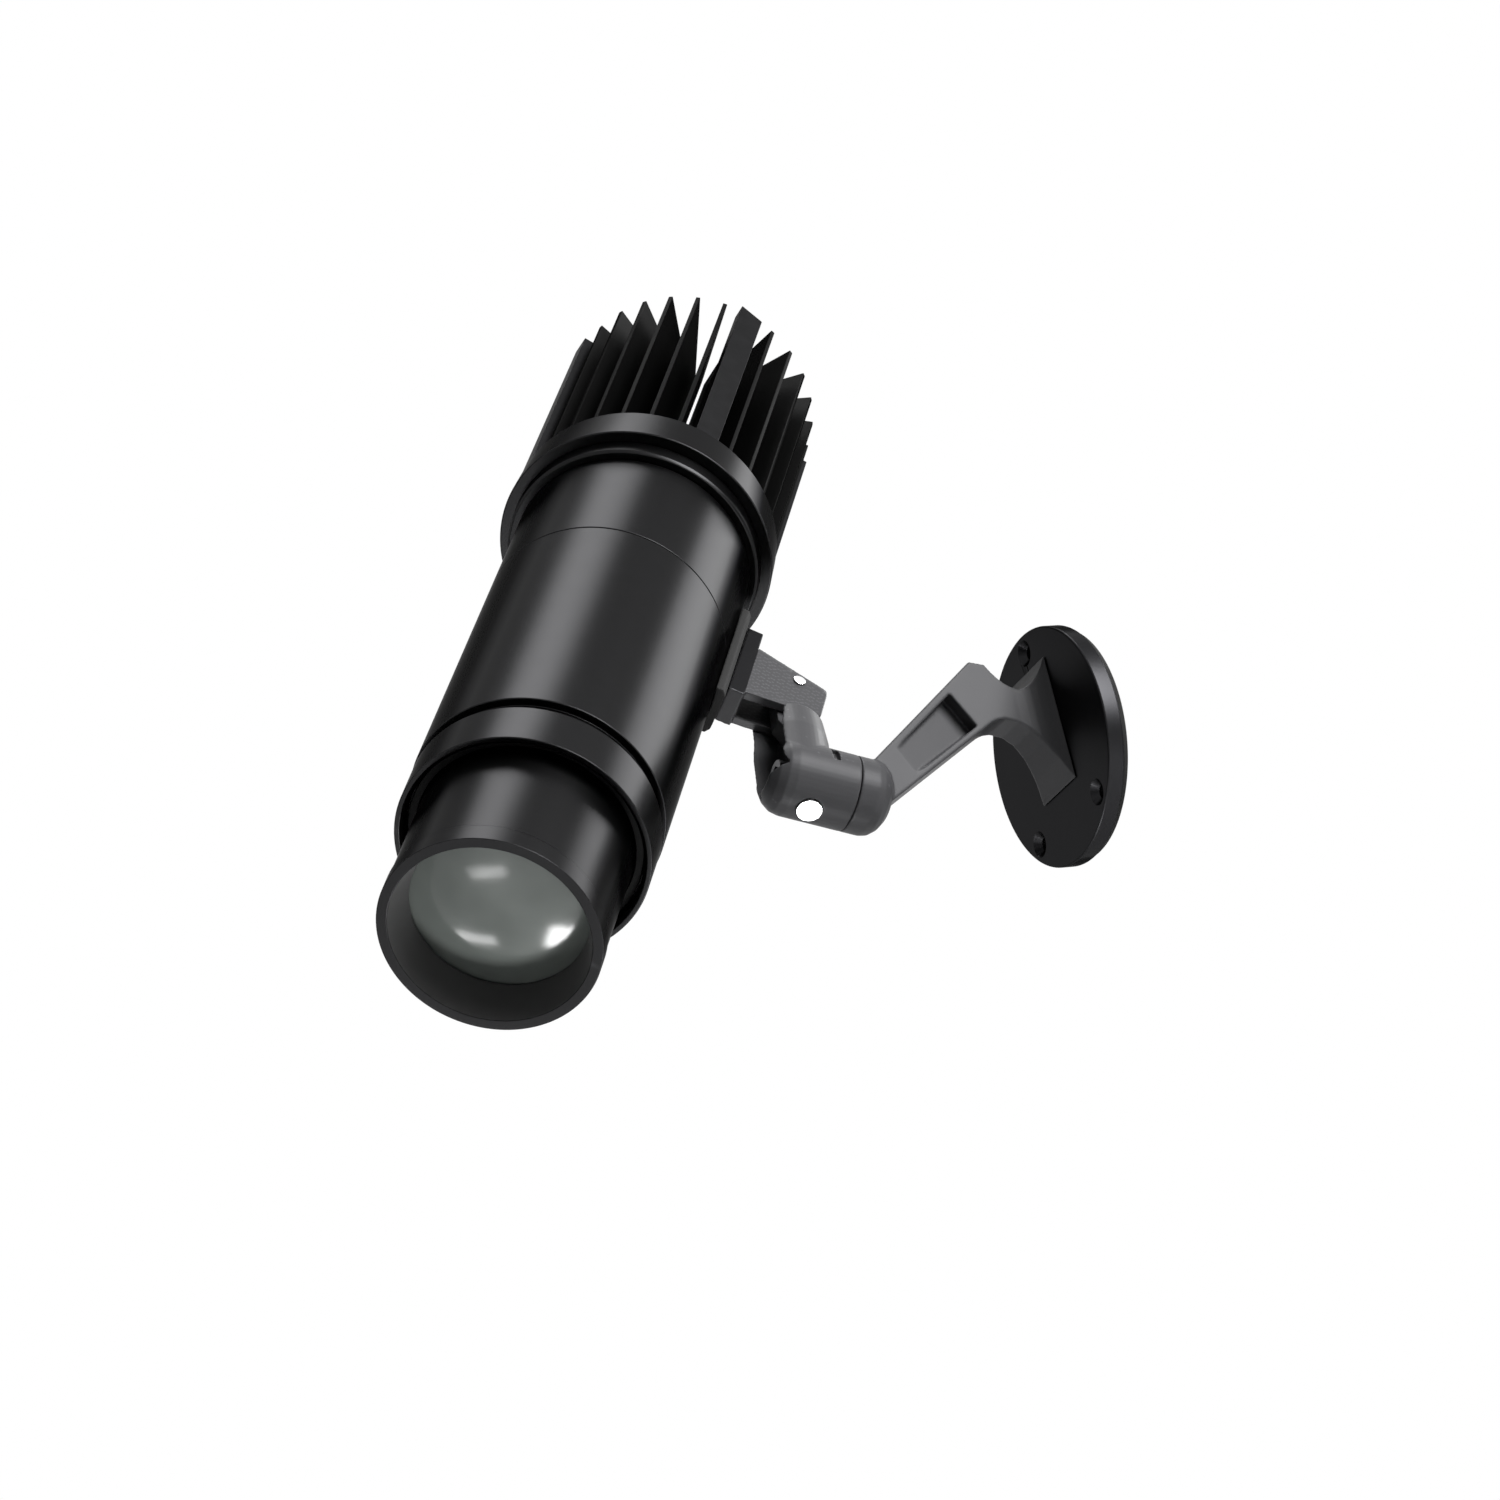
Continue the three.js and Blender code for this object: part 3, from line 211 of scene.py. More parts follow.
def grain_group():
    """Fine unevenness of a coat: a height for the bump and a mask for the gloss."""
    group = bpy.data.node_groups.new("coat_grain", "ShaderNodeTree")
    sides = group.interface
    sides.new_socket("Vector", in_out="INPUT", socket_type="NodeSocketVector")
    sides.new_socket("Scale", in_out="INPUT", socket_type="NodeSocketFloat")
    sides.new_socket("Height", in_out="OUTPUT", socket_type="NodeSocketFloat")
    sides.new_socket("Mask", in_out="OUTPUT", socket_type="NodeSocketFloat")
    start = group.nodes.new("NodeGroupInput")
    end = group.nodes.new("NodeGroupOutput")
    fine = group.nodes.new("ShaderNodeTexNoise")
    fine.inputs["Detail"].default_value = 3.0
    broad = group.nodes.new("ShaderNodeTexNoise")
    broad.inputs["Scale"].default_value = 45.0
    broad.inputs["Detail"].default_value = 4.0
    link = group.links.new
    link(start.outputs["Vector"], fine.inputs["Vector"])
    link(start.outputs["Scale"], fine.inputs["Scale"])
    link(start.outputs["Vector"], broad.inputs["Vector"])
    link(fine.outputs["Fac"], end.inputs["Height"])
    link(broad.outputs["Fac"], end.inputs["Mask"])
    return group


def wear_group():
    """Where a coat is rubbed thin: on the edges, in uneven patches."""
    group = bpy.data.node_groups.new("edge_wear", "ShaderNodeTree")
    sides = group.interface
    sides.new_socket("Vector", in_out="INPUT", socket_type="NodeSocketVector")
    sides.new_socket("Amount", in_out="INPUT", socket_type="NodeSocketFloat")
    sides.new_socket("Mask", in_out="OUTPUT", socket_type="NodeSocketFloat")
    start = group.nodes.new("NodeGroupInput")
    end = group.nodes.new("NodeGroupOutput")
    shape = group.nodes.new("ShaderNodeNewGeometry")
    patch = group.nodes.new("ShaderNodeTexNoise")
    patch.inputs["Scale"].default_value = 160.0
    patch.inputs["Detail"].default_value = 5.0
    rubbed = group.nodes.new("ShaderNodeMath")
    rubbed.operation = "MULTIPLY"
    scaled = group.nodes.new("ShaderNodeMath")
    scaled.operation = "MULTIPLY"
    link = group.links.new
    link(start.outputs["Vector"], patch.inputs["Vector"])
    spread(group.nodes, link, shape.outputs["Pointiness"], rubbed.inputs[0], 0.0, 1.0,
           start=0.52, end=0.62)
    link(patch.outputs["Fac"], rubbed.inputs[1])
    link(rubbed.outputs["Value"], scaled.inputs[0])
    link(start.outputs["Amount"], scaled.inputs[1])
    link(scaled.outputs["Value"], end.inputs["Mask"])
    return group


coat_grain = grain_group()
edge_wear = wear_group()


def grained(nodes, link, vector, grain, gloss):
    """Sets the gloss of a material from the grain, and gives back the grain's height."""
    uneven = nodes.new("ShaderNodeGroup")
    uneven.node_tree = coat_grain
    uneven.inputs["Scale"].default_value = grain
    link(vector, uneven.inputs["Vector"])
    roughness = nodes["Principled BSDF"].inputs["Roughness"]
    spread(nodes, link, uneven.outputs["Mask"], roughness, gloss[0], gloss[1])
    return uneven.outputs["Height"]


def bumped(nodes, link, height, strength, depth):
    bump = nodes.new("ShaderNodeBump")
    bump.inputs["Strength"].default_value = strength
    bump.inputs["Distance"].default_value = depth
    link(height, bump.inputs["Height"])
    link(bump.outputs["Normal"], nodes["Principled BSDF"].inputs["Normal"])


drawn_grain = (1.0, 1.0, 14.0)


def black_coat(name, colour, worn, gloss, grain, depth, wear, metal, stretch=None):
    """A black coat on metal. Gloss is the lowest and highest roughness, grain the size of
    its unevenness and depth its height in metres; metal is 1 where the metal shines through,
    as under a dye, and 0 for a paint. Stretch is a frame that the grain runs along. The tint
    fades towards the edges, so that the coat stays black where it is seen edge-on."""
    coat = bpy.data.materials.new(name)
    coat.use_nodes = True
    nodes = coat.node_tree.nodes
    link = coat.node_tree.links.new
    shader = nodes["Principled BSDF"]
    shader.inputs["Metallic"].default_value = metal
    shader.inputs["Specular IOR Level"].default_value = 0.1
    edge_on = nodes.new("ShaderNodeLayerWeight")
    sheen_tint = shader.inputs["Specular Tint"]
    spread(nodes, link, edge_on.outputs["Facing"], sheen_tint, low=0.55, high=0.0,
           start=0.65, end=0.9)
    place = nodes.new("ShaderNodeTexCoord")
    follow = nodes.new("ShaderNodeMapping")
    follow.vector_type = "TEXTURE"
    if stretch is not None:
        follow.inputs["Location"].default_value = stretch.to_translation()
        follow.inputs["Rotation"].default_value = stretch.to_euler()
        follow.inputs["Scale"].default_value = drawn_grain
    link(place.outputs["Object"], follow.inputs["Vector"])
    height = grained(nodes, link, follow.outputs["Vector"], grain, gloss)
    rubbed = nodes.new("ShaderNodeGroup")
    rubbed.node_tree = edge_wear
    rubbed.inputs["Amount"].default_value = wear
    link(place.outputs["Object"], rubbed.inputs["Vector"])
    blend(nodes, link, rubbed.outputs["Mask"], shader.inputs["Base Color"], colour, worn)
    bumped(nodes, link, height, strength=0.5, depth=depth)
    return coat


plate_paint = black_coat(
    "plate_paint", colour=(0.016, 0.016, 0.017), worn=(0.08, 0.08, 0.085), gloss=(0.3, 0.4),
    grain=900.0, depth=2e-5, wear=0.0, metal=1.0,
)

plate = turned("plate_turned", [
    (0, plate_back), (plate_radius, plate_back), (plate_radius, plate_front), (0, plate_front),
], fine_sides)
soften(plate, plate_edge)
drill(plate, [
    (0, 0), (screw_hole, 0), (screw_hole, sink_start), (screw_head, plate_front),
    (screw_head, plate_front + cut_past), (0, plate_front + cut_past),
])
polish(plate)
settle(plate, out_of_wall)
plate.data.materials.append(plate_paint)
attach(plate, "wall_base")
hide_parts("wall_plate")


# Wall gasket: a disc of black rubber foam behind the plate, a little smaller than it, which
# fills the gap to a rough wall. It is cut out with the same three holes.

gasket_radius = 38.6
gasket_edge = 0.3


def dull_stuff(name, colour, grain):
    """A dull, even stuff with a fine grain: rubber, plastic or lacquer."""
    stuff = bpy.data.materials.new(name)
    stuff.use_nodes = True
    nodes = stuff.node_tree.nodes
    link = stuff.node_tree.links.new
    shader = nodes["Principled BSDF"]
    shader.inputs["Base Color"].default_value = (*colour, 1.0)
    shader.inputs["Specular IOR Level"].default_value = 0.12
    place = nodes.new("ShaderNodeTexCoord")
    height = grained(nodes, link, place.outputs["Object"], grain, gloss=(0.7, 0.9))
    bumped(nodes, link, height, strength=0.6, depth=6e-5)
    return stuff


black_rubber = dull_stuff("black_rubber", colour=(0.014, 0.014, 0.014), grain=1400.0)

gasket = turned("gasket_disc", [
    (0, 0), (gasket_radius, 0), (gasket_radius, plate_back), (0, plate_back),
])
soften(gasket, gasket_edge, 2)
drill(gasket, [
    (0, -cut_past), (screw_hole, -cut_past), (screw_hole, plate_back + cut_past),
    (0, plate_back + cut_past),
])
polish(gasket)
settle(gasket, out_of_wall)
gasket.data.materials.append(black_rubber)
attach(gasket, "wall_base")
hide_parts("wall_gasket")


# Arm: one aluminium casting with a flared foot, a bent neck, a pocket in each side and a
# round knuckle. It comes out of its mould with rounded edges and is painted satin black.

broad_skin = 0.4
weld_gap = 0.005
large_cast_passes = 4


def cast_from(node, name, voxel, passes, lug=None):
    """A casting: the solid of a node, with a lug cast on where one is given, closed and
    rounded along its edges as a mould leaves it. More passes round it more."""
    bpy.ops.object.select_all(action="DESELECT")
    piece = copied(frame["nodes"][node])
    piece.name = name
    for key in list(piece.keys()):
        del piece[key]
    piece.parent = None
    piece.matrix_world = Matrix.Identity(4)
    piece.data.materials.clear()
    alone(piece)
    if lug is not None:
        lug.select_set(True)
        bpy.ops.object.join()
    bpy.ops.object.mode_set(mode="EDIT")
    bpy.ops.mesh.select_all(action="SELECT")
    bpy.ops.mesh.remove_doubles(threshold=weld_gap * MM)
    bpy.ops.object.mode_set(mode="OBJECT")
    skin = piece.modifiers.new("skin", "REMESH")
    skin.mode = "VOXEL"
    skin.voxel_size = voxel * MM
    skin.use_smooth_shade = True
    bpy.ops.object.modifier_apply(modifier="skin")
    ease = piece.modifiers.new("ease", "CORRECTIVE_SMOOTH")
    ease.iterations = passes
    ease.smooth_type = "LENGTH_WEIGHTED"
    ease.use_only_smooth = True
    bpy.ops.object.modifier_apply(modifier="ease")
    bpy.ops.object.shade_smooth()
    return piece


cast_paint = black_coat(
    "cast_paint", colour=(0.04, 0.04, 0.042), worn=(0.09, 0.09, 0.095), gloss=(0.36, 0.44),
    grain=1100.0, depth=3e-5, wear=0.8, metal=0.1,
)

arm = cast_from("arm_casting", "arm_cast", broad_skin, large_cast_passes)
arm.data.materials.append(cast_paint)
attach(arm, "wall_base")
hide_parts("arm_casting")


# Elbow: a second casting, two round limbs in an L. It turns on the arm's knuckle, and a
# tongue on its upper limb carries the lamp, beside a tall cheek on the far side. Same mould
# finish and paint as the arm.

elbow_skin = 0.32
cheek_foot = 20.0
cheek_top = 33.5
limb_radius = 11.7
limb_setback = 3.1
limb_reach = 15.3
limb_sides = 64
ear_side = 7.2

joints = {joint["name"]: joint for joint in frame["joints"]}
pin_middle = Vector(joints["tilt"]["pos_m"])
elbow_y = Vector(joints["swivel"]["axis"]).normalized()
if elbow_y.y < 0:
    elbow_y = -elbow_y
elbow_corner = Vector(joints["swivel"]["pos_m"]) - elbow_y * limb_reach * MM
elbow_z = (pin_middle - elbow_corner).normalized()
elbow_x = elbow_y.cross(elbow_z)
elbow_turn = Matrix((elbow_x, elbow_y, elbow_z)).transposed().to_4x4()
on_elbow = Matrix.Translation(elbow_corner) @ elbow_turn

cheek = turned("far_cheek", [
    (0, cheek_foot), (limb_radius, cheek_foot), (limb_radius, cheek_top), (0, cheek_top),
], limb_sides)
bpy.ops.mesh.primitive_cube_add(size=4 * limb_radius * MM)
beside = bpy.context.object
settle(beside, Matrix.Translation(((2 * limb_radius - ear_side) * MM, 0, cheek_top * MM)))
cut_away(cheek, beside)
settle(cheek, on_elbow @ Matrix.Translation((0, -limb_setback * MM, 0)))

elbow = cast_from("elbow_casting", "elbow_cast", elbow_skin, large_cast_passes, cheek)
elbow.data.materials.append(cast_paint)
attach(elbow, "elbow")
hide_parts("elbow_casting")


# Lamp bracket: a cast strip with two ears that hold the tongue between them, and that reach
# a little further back than those of the solid. The sides of the strip take the darker paint
# of the plate as a painted shade.

bracket_skin = 0.3
small_cast_passes = 3
strip_top = 48.9
ear_growth = 1.1
faces_back = 0.4
painted_shade_facing = 0.6

lamp_back = -Vector(joints["focus_slide"]["axis"]).normalized()
lamp_up = Vector(joints["tilt"]["axis"]).cross(lamp_back).normalized()
lamp_side = lamp_up.cross(lamp_back).normalized()
lamp_start = Vector(joints["focus_lock_turn"]["pos_m"])

bracket = cast_from("lamp_bracket", "bracket_cast", bracket_skin, small_cast_passes)
bpy.ops.object.mode_set(mode="EDIT")
bpy.ops.mesh.select_all(action="DESELECT")
bpy.ops.object.mode_set(mode="OBJECT")
for vertex in bracket.data.vertices:
    on_ear = (vertex.co - lamp_start).dot(lamp_up) > strip_top * MM
    vertex.select = on_ear and vertex.normal.dot(lamp_back) > faces_back
bpy.ops.object.mode_set(mode="EDIT")
bpy.ops.transform.translate(value=lamp_back * ear_growth * MM)
bpy.ops.object.mode_set(mode="OBJECT")
bracket.data.materials.append(cast_paint)
bracket.data.materials.append(plate_paint)
# The strip's faces that turn sideways take the plate's darker paint: a painted shade.
for face in bracket.data.polygons:
    height = (face.center - lamp_start).dot(lamp_up)
    painted_shade_side = abs(face.normal.dot(lamp_side)) > painted_shade_facing
    face.material_index = int(painted_shade_side and abs(height) < strip_top * MM)
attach(bracket, "lamp")
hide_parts("lamp_bracket")


# Bracket saddle: a pad of black rubber under the strip. It fits the round of the tube, and
# the bracket's two screws press it down.

saddle = cast_from("bracket_saddle", "saddle_pad", broad_skin, small_cast_passes)
saddle.data.materials.append(black_rubber)
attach(saddle, "lamp")
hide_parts("bracket_saddle")


# Tilt pin: a turned steel pin through both ears and the tongue. Its low head sits almost flush
# with the near ear, and a nut holds its far end.

pin_radius = 1.5
pin_head_radius = 2.1
pin_head_rise = 0.4
pin_edge = 0.12
pin_sides = 48
ear_face = 7.1
pin_end = -9.7


def steel(name, colour, gloss):
    metal = bpy.data.materials.new(name)
    metal.use_nodes = True
    nodes = metal.node_tree.nodes
    link = metal.node_tree.links.new
    shader = nodes["Principled BSDF"]
    shader.inputs["Metallic"].default_value = 1.0
    shader.inputs["Base Color"].default_value = (*colour, 1.0)
    place = nodes.new("ShaderNodeTexCoord")
    grained(nodes, link, place.outputs["Object"], grain=2200.0, gloss=gloss)
    return metal


bright_steel = steel("bright_steel", colour=(0.9, 0.9, 0.91), gloss=(0.16, 0.3))

tilt_pin = turned("tilt_pin_turned", [
    (0, pin_end), (pin_radius, pin_end), (pin_radius, ear_face), (pin_head_radius, ear_face),
    (pin_head_radius, ear_face + pin_head_rise), (0, ear_face + pin_head_rise),
], pin_sides)
soften(tilt_pin, pin_edge, 2)
along_pin = elbow_x.to_track_quat("Z", "Y").to_matrix().to_4x4()
settle(tilt_pin, Matrix.Translation(pin_middle) @ along_pin)
tilt_pin.data.materials.append(bright_steel)
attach(tilt_pin, "lamp")
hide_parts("tilt_pin")


# Main tube: two lengths of drawn aluminium, 80 mm across, anodised satin black. They meet
# in a fine seam, and the front one is turned down to a nose where the lock ring sits.

tube_radius = 40.0
tube_bore = 37.0
tube_end = 150.7
tube_edge = 0.35
seam_station = 105.0
seam_gap = 0.15
seam_edge = 0.3
nose_radius = 37.3
nose_bore = 34.5
nose_front = -15.0
nose_back = 3.0
spigot_radius = 36.7
spigot_bore = 34.1
spigot_length = 8.0
spigot_root = 2.0

lamp_turn = Matrix((lamp_side, lamp_up, lamp_back)).transposed().to_4x4()
on_lamp = Matrix.Translation(lamp_start) @ lamp_turn

anodised = black_coat(
    "black_anodised", colour=(0.015, 0.015, 0.0155), worn=(0.08, 0.08, 0.085),
    gloss=(0.27, 0.33), grain=1600.0, depth=6e-6, wear=0.35, metal=1.0, stretch=on_lamp,
)

seam_front = seam_station - seam_gap
front_tube = turned("front_tube_drawn", [
    (nose_bore, nose_front), (nose_radius, nose_front), (nose_radius, 0.0), (tube_radius, 0.0),
    (tube_radius, seam_front), (tube_bore, seam_front), (tube_bore, nose_back),
    (nose_bore, nose_back),
])
soften(front_tube, tube_edge)
settle(front_tube, on_lamp)
front_tube.data.materials.append(anodised)
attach(front_tube, "lamp")
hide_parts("front_tube")

seam_rear = seam_station + seam_gap
spigot_front = seam_rear - spigot_length
spigot_rear = seam_rear + spigot_root
rear_tube = turned("rear_tube_drawn", [
    (spigot_bore, spigot_front), (spigot_radius, spigot_front), (spigot_radius, seam_rear),
    (tube_radius, seam_rear), (tube_radius, tube_end), (tube_bore, tube_end),
    (tube_bore, spigot_rear), (spigot_bore, spigot_rear),
])
soften(rear_tube, seam_edge)
settle(rear_tube, on_lamp)
rear_tube.data.materials.append(anodised)
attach(rear_tube, "lamp")
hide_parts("rear_tube")


# Lock ring: a turned ring on the tube's nose, anodised with the tube. A turn of it presses
# a split wedge on the barrel, which holds the focus.

ring_radius = 39.7
ring_front = -21.6
ring_back = -4.6
ring_bore = 37.7
ring_edge = 0.3
mouth_radius = 36.9
mouth_flare = 38.1
mouth_front = -20.4
mouth_back = -15.4

lock_ring = turned("lock_ring_turned", [
    (mouth_flare, ring_front), (ring_radius, ring_front), (ring_radius, ring_back),
    (ring_bore, ring_back), (ring_bore, nose_front), (mouth_radius, mouth_back),
    (mouth_radius, mouth_front),
])
soften(lock_ring, ring_edge)
settle(lock_ring, on_lamp)
lock_ring.data.materials.append(anodised)
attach(lock_ring, "focus_lock")
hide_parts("lock_ring")


# Clamp wedge: a tapered ring between the lock ring and the barrel. It is blackened, and
# shows as a dark step inside the ring's mouth.

wedge_bore = 34.0
wedge_front = -17.5
wedge_back = -15.3
wedge_front_radius = 36.3
wedge_back_radius = 36.6
wedge_edge = 0.2

inner_black = black_coat(
    "inner_black", colour=(0.006, 0.006, 0.006), worn=(0.02, 0.02, 0.02), gloss=(0.5, 0.6),
    grain=900.0, depth=1e-5, wear=0.0, metal=1.0,
)

wedge = turned("clamp_wedge_turned", [
    (wedge_bore, wedge_front), (wedge_front_radius, wedge_front),
    (wedge_back_radius, wedge_back), (wedge_bore, wedge_back),
])
soften(wedge, wedge_edge, 2)
settle(wedge, on_lamp)
wedge.data.materials.append(inner_black)
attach(wedge, "lamp")
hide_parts("clamp_wedge")


# Lens barrel: a long aluminium sleeve that slides in the tube. Its rim is a plain flat lip,
# and behind it a bore, blackened against glare, leads to the lens.

rim_front = -67.3
rim_radius = 34.0
rim_bore = 30.7
rim_length = 7.0
rim_step = 0.3
barrel_radius = 33.6
barrel_bore = 30.0
barrel_back = 24.0
barrel_edge = 0.35
lens_seat = -53.1
lip_bore = 27.4
lip_thickness = 1.2
blackened_within = 30.6

hood_black = black_coat(
    "hood_black", colour=(0.08, 0.08, 0.08), worn=(0.06, 0.06, 0.06), gloss=(0.5, 0.6),
    grain=900.0, depth=1e-5, wear=0.0, metal=0.0,
)

rim_back = rim_front + rim_length
barrel = turned("lens_barrel_turned", [
    (rim_bore, rim_front), (rim_radius, rim_front), (rim_radius, rim_back),
    (barrel_radius, rim_back + rim_step), (barrel_radius, barrel_back),
    (barrel_bore, barrel_back), (barrel_bore, lens_seat), (lip_bore, lens_seat),
    (lip_bore, lens_seat - lip_thickness),
], fine_sides)
soften(barrel, barrel_edge)
settle(barrel, on_lamp)
barrel.data.materials.append(anodised)
barrel.data.materials.append(hood_black)
to_lamp = on_lamp.inverted()
for face in barrel.data.polygons:
    spot = to_lamp @ face.center
    face.material_index = int(Vector(spot[:2]).length < blackened_within * MM)
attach(barrel, "focus_barrel")
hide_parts("lens_barrel")


# Front lens: a plano-convex lens of grey-green coated glass, 59 mm across, held against the
# lip by a ring screwed in from behind. Cloudy patches of painted reflection lie in its colour.

lens_radius = 29.6
lens_curve = 85.0
lens_edge_thickness = 6.0
lens_play = 0.3
lens_edge_round = 0.15
lens_edge_angle = 40.0


def sag(curve, radius):
    """How far a dome of this curve stands above a disc of this radius."""
    return curve - math.sqrt(curve**2 - radius**2)


def dome(radius, curve, edge, edge_station, steps=14):
    """Profile of a lens with its dome to the front and a flat back."""
    tip = edge_station - sag(curve, radius)
    points = []
    for step in range(steps + 1):
        r = radius * step / steps
        points.append((r, tip + sag(curve, r)))
    points.append((radius, edge_station + edge))
    points.append((0, edge_station + edge))
    return points


def lens_glass(name, colour, clear):
    """Coated glass whose colour has cloudy patches of painted reflection. Clear is the share of light that goes
    through.
    """
    glass = bpy.data.materials.new(name)
    glass.use_nodes = True
    nodes = glass.node_tree.nodes
    link = glass.node_tree.links.new
    shader = nodes["Principled BSDF"]
    shader.inputs["Transmission Weight"].default_value = clear
    shader.inputs["IOR"].default_value = 1.52
    shader.inputs["Specular IOR Level"].default_value = 0.14
    shader.inputs["Coat Roughness"].default_value = 0.12
    place = nodes.new("ShaderNodeTexCoord")
    # Cloudy patches of painted reflection, which also vary the gloss and the coat.
    reflection_cloud = nodes.new("ShaderNodeTexNoise")
    reflection_cloud.inputs["Scale"].default_value = 38.0
    reflection_cloud.inputs["Detail"].default_value = 2.0
    link(place.outputs["Object"], reflection_cloud.inputs["Vector"])
    painted_reflections = reflection_cloud.outputs["Fac"]
    darker = [0.5 * part for part in colour]
    blend(nodes, link, painted_reflections, shader.inputs["Base Color"], darker, colour)
    spread(nodes, link, painted_reflections, shader.inputs["Roughness"], low=0.1, high=0.18)
    spread(nodes, link, painted_reflections, shader.inputs["Coat Weight"], low=0.0, high=0.35,
           start=0.35, end=0.65)
    return glass


coated_glass = lens_glass("coated_glass", colour=(0.2, 0.221, 0.207), clear=0.12)

dome_past_lip = sag(lens_curve, lens_radius) - sag(lens_curve, lip_bore)
lens_edge_station = lens_seat + lens_play + dome_past_lip
front_lens = turned(
    "front_lens_ground", dome(lens_radius, lens_curve, lens_edge_thickness, lens_edge_station)
)
soften(front_lens, lens_edge_round, 2, lens_edge_angle)
settle(front_lens, on_lamp)
front_lens.data.materials.append(coated_glass)
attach(front_lens, "focus_barrel")
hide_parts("front_lens")


# Collar ring: a narrow turned ring that closes the joint between the tube and the heat
# sink. It tapers a little towards the tube and is anodised with it.

collar_radius = 43.0
collar_front = 151.5
collar_back = 157.5
collar_front_radius = 42.2
collar_shoulder = 152.5
collar_shoulder_radius = 42.8
collar_edge = 0.3
collar_edge_angle = 25.0

collar = turned("collar_turned", [
    (tube_bore, collar_front), (collar_front_radius, collar_front),
    (collar_shoulder_radius, collar_shoulder), (collar_radius, collar_back),
    (tube_bore, collar_back),
])
soften(collar, collar_edge, 3, collar_edge_angle)
settle(collar, on_lamp)
collar.data.materials.append(anodised)
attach(collar, "lamp")
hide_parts("collar_ring")


# Heat sink: an aluminium extrusion of thin radial fins round an open centre, with four
# wide ribs, turned down at the front to a flange and a boss that carries the light source.
# The fins take a deeper black than the ribs, as painted shade in the gaps between them.

boss_radius = 36.7
boss_front = 150.0
flange_front = 157.9
flange_rear = 173.2
flange_radius = 46.7
flange_rear_radius = 45.8
flange_edge = 0.5
dish_radius = 42.6
dish_floor = 166.1
fin_root = 164.1
fin_rear = 264.8
fin_outer = 44.0
fin_inner = 10.5
fin_thickness = 1.5
fin_edge = 0.22
fins_per_quarter = 6
rib_width = 8.6
rib_outer = 45.6
rib_depth = 5.5
rib_slope = 3.0
end_band = 0.1
crown_turn = 8.0

flange = turned("heat_sink_flange", [
    (0, boss_front), (boss_radius, boss_front), (boss_radius, flange_front),
    (flange_radius, flange_front), (flange_rear_radius, flange_rear), (dish_radius, flange_rear),
    (dish_radius, dish_floor), (0, dish_floor),
])
soften(flange, flange_edge)
settle(flange, on_lamp)
flange.data.materials.append(anodised)
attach(flange, "lamp")
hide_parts("heat_sink")


def blade(name, inner, outer, width):
    bpy.ops.object.select_all(action="DESELECT")
    bpy.ops.mesh.primitive_cube_add(
        size=MM, location=((inner + outer) / 2 * MM, 0, (fin_root + fin_rear) / 2 * MM)
    )
    piece = bpy.context.object
    piece.name = name
    piece.scale = (outer - inner, width, fin_rear - fin_root)
    bpy.ops.object.transform_apply(location=True, rotation=True, scale=True)
    return piece


fin = blade("fin", fin_inner, fin_outer, fin_thickness)
# The fins' deeper black is painted shade for the gaps between them.
fin.data.materials.append(inner_black)

rib = blade("rib", rib_outer - rib_depth, rib_outer, rib_width)
rib.data.materials.append(anodised)
alone(rib)
bpy.ops.object.mode_set(mode="EDIT")
bpy.ops.mesh.select_all(action="DESELECT")
bpy.ops.object.mode_set(mode="OBJECT")
for vertex in rib.data.vertices:
    at_rear = vertex.co.z > (fin_rear - end_band) * MM
    vertex.select = at_rear and vertex.co.y > 0
bpy.ops.object.mode_set(mode="EDIT")
bpy.ops.transform.translate(value=(0, 0, -rib_slope * MM))
bpy.ops.object.mode_set(mode="OBJECT")

crown = []
pitch = 90.0 / (fins_per_quarter + 1)
for quarter in range(4):
    for number in range(fins_per_quarter + 1):
        around = 90.0 * quarter + pitch * number + crown_turn
        turn_by = Matrix.Rotation(math.radians(around), 4, "Z")
        crown.append(settle(copied(fin), turn_by))
        if number == 0:
            crown.append(settle(copied(rib), turn_by))
bpy.data.objects.remove(fin)
bpy.data.objects.remove(rib)
bpy.ops.object.select_all(action="DESELECT")
for part in crown:
    part.select_set(True)
bpy.context.view_layer.objects.active = crown[0]
bpy.ops.object.join()
fins = bpy.context.object
fins.name = "heat_sink_fins"
soften(fins, fin_edge, 2)
settle(fins, on_lamp)
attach(fins, "lamp")
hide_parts("heat_sink")


# Small parts and the inside of the tube: steel screws and pins, blackened rings that hold
# the lenses, and the light source on its board.

dark_steel = steel("dark_steel", colour=(0.05, 0.05, 0.055), gloss=(0.3, 0.42))
white_nylon = dull_stuff("white_nylon", colour=(0.6, 0.6, 0.58), grain=1200.0)
board_white = dull_stuff("board_white", colour=(0.75, 0.75, 0.72), grain=800.0)
phosphor = dull_stuff("phosphor", colour=(0.8, 0.62, 0.12), grain=1800.0)
clear_glass = lens_glass("clear_glass", colour=(0.7, 0.76, 0.74), clear=0.95)

finishes = {
    "steel": bright_steel, "nylon": white_nylon, "board": board_white, "phosphor": phosphor,
    "inner_black": inner_black, "glass": clear_glass, "casting": cast_paint,
    "anodised": anodised, "rubber": black_rubber, "plate": plate_paint,
}
slots = {entry["node"]: entry["material_slot"] for entry in frame["record"]["subparts"]}
blackened = ("swivel_bolt", "swivel_spring_washer", "bracket_screw_1", "bracket_screw_2")
for name, node in frame["nodes"].items():
    if not node.hide_render:
        node.data.materials.clear()
        node.data.materials.append(dark_steel if name in blackened else finishes[slots[name]])


# Studio lamps: two soft boxes above and behind the projector, which draw the long bands on
# its tube, one at its side for the flats of the arm, and three weak ones that show only as
# reflections in the front lens.

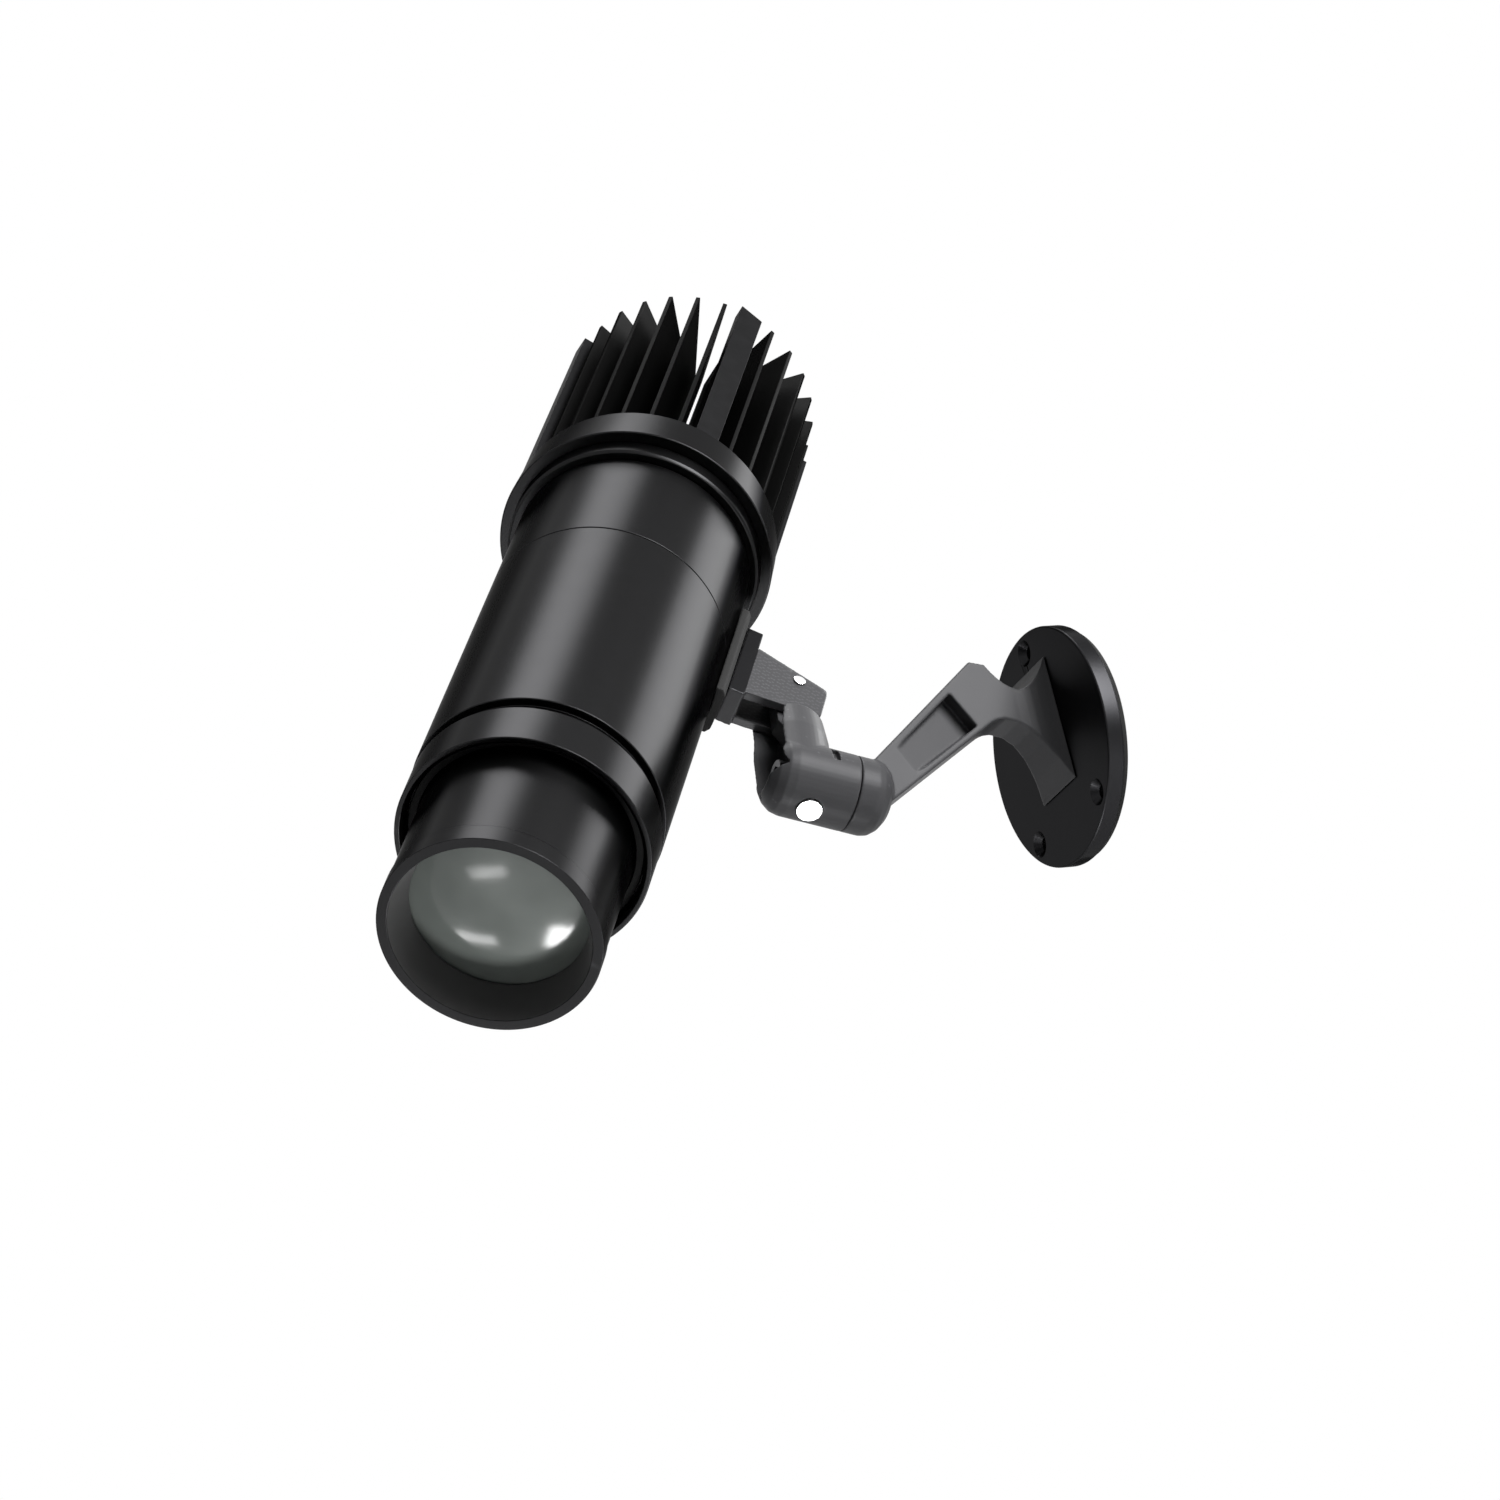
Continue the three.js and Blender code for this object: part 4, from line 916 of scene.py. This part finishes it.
band_distance = 5.0
band_box = (1.9, 1.9)
band_power = 150.0
band_back = 0.83
side_way = Vector((0.8, 0.42, 0.45))
side_distance = 2.5
side_box = (1.5, 1.5)
side_power = 170.0
glint_distance = 0.6
tube_middle_behind = 0.08
lens_ahead = 0.055


def soft_box(name, direction, distance, size, power, aim, spin=0.0):
    light = bpy.data.lights.new(name, "AREA")
    light.shape = "RECTANGLE"
    light.size, light.size_y = size
    light.energy = power
    box = bpy.data.objects.new(name, light)
    bpy.context.scene.collection.objects.link(box)
    box.location = aim + direction.normalized() * distance
    level = direction.to_track_quat("Z", "Y").to_matrix().to_4x4()
    box.rotation_euler = (level @ Matrix.Rotation(math.radians(spin), 4, "Z")).to_euler()
    return box


lamp_middle = lamp_start + lamp_back * tube_middle_behind
to_camera = (view_place - lamp_middle).normalized()
facing = (to_camera - lamp_back * to_camera.dot(lamp_back)).normalized()
rightward = lamp_back.cross(facing)
if rightward.dot(view_right) < 0:
    rightward = -rightward


def round_the_tube(angle, back):
    across = math.sqrt(1.0 - back**2)
    swing = facing * math.cos(math.radians(angle)) + rightward * math.sin(math.radians(angle))
    return swing * across + lamp_back * back


def before_the_lens(toward, right, front):
    return facing * toward + rightward * right - lamp_back * front


for name, angle in (("left_box", -44.0), ("right_box", 76.0)):
    soft_box(
        name, round_the_tube(angle, band_back), band_distance, band_box, band_power, lamp_middle
    )
soft_box("side_box", side_way, side_distance, side_box, side_power, lamp_middle)

lens_middle = lamp_start - lamp_back * lens_ahead
glints = (
    ("lens_window", before_the_lens(-0.6, 0.45, 0.66), (0.16, 0.12), 2.6, 20.0),
    ("lens_bar_low", before_the_lens(-0.8, -0.06, 0.6), (0.14, 0.05), 0.45, 85.0),
    ("lens_bar_high", before_the_lens(-0.311, -0.163, 0.936), (0.16, 0.05), 0.3, -38.0),
)
for name, direction, size, power, spin in glints:
    soft_box(name, direction, glint_distance, size, power, lens_middle, spin)


# Floor: a wide pale plane far below the projector. The camera sees it lifted towards white,
# and it throws little light back up.

floor_size = 16.0
floor_height = -0.9
floor_seen = (0.8, 0.8, 0.8)
floor_bounce = (0.15, 0.15, 0.15)
floor_lift = 0.55
floor_glow = (1.0, 1.0, 1.0)

bpy.ops.object.select_all(action="DESELECT")
bpy.ops.mesh.primitive_plane_add(size=floor_size, location=(0, 0, floor_height))
floor = bpy.context.object
floor.name = "studio_floor"
floor_paint = bpy.data.materials.new("studio_floor")
floor_paint.use_nodes = True
floor_nodes = floor_paint.node_tree.nodes
floor_link = floor_paint.node_tree.links.new
floor_shader = floor_nodes["Principled BSDF"]
floor_colour = floor_shader.inputs["Base Color"]
floor_rays = floor_nodes.new("ShaderNodeLightPath")
from_object = floor_rays.outputs["Is Diffuse Ray"]
blend(floor_nodes, floor_link, from_object, floor_colour, floor_seen, floor_bounce)
lift = floor_nodes.new("ShaderNodeMath")
lift.operation = "MULTIPLY"
lift.inputs[1].default_value = floor_lift
floor_link(floor_rays.outputs["Is Camera Ray"], lift.inputs[0])
floor_link(lift.outputs["Value"], floor_shader.inputs["Emission Strength"])
floor_shader.inputs["Emission Color"].default_value = (*floor_glow, 1.0)
floor_shader.inputs["Roughness"].default_value = 0.9
floor.data.materials.append(floor_paint)


# Surroundings: white where the camera, a reflection or clear glass shows them, and a dim
# grey where they only light the projector.

backdrop = (1.0, 1.0, 1.0)
air_tone = (0.1, 0.1, 0.103)

world = bpy.data.worlds.new("studio")
bpy.context.scene.world = world
world.use_nodes = True
air = world.node_tree.nodes
air_link = world.node_tree.links.new
rays = air.new("ShaderNodeLightPath")
seen = air.new("ShaderNodeMath")
seen.operation = "MAXIMUM"
mirrored = air.new("ShaderNodeMath")
mirrored.operation = "MAXIMUM"
air_link(rays.outputs["Is Camera Ray"], seen.inputs[0])
air_link(rays.outputs["Is Glossy Ray"], mirrored.inputs[0])
air_link(rays.outputs["Is Transmission Ray"], mirrored.inputs[1])
air_link(mirrored.outputs["Value"], seen.inputs[1])
air_colour = air["Background"].inputs["Color"]
blend(air, air_link, seen.outputs["Value"], air_colour, air_tone, backdrop)
air["Background"].inputs["Strength"].default_value = 1.0

bpy.context.scene.view_settings.view_transform = "Standard"
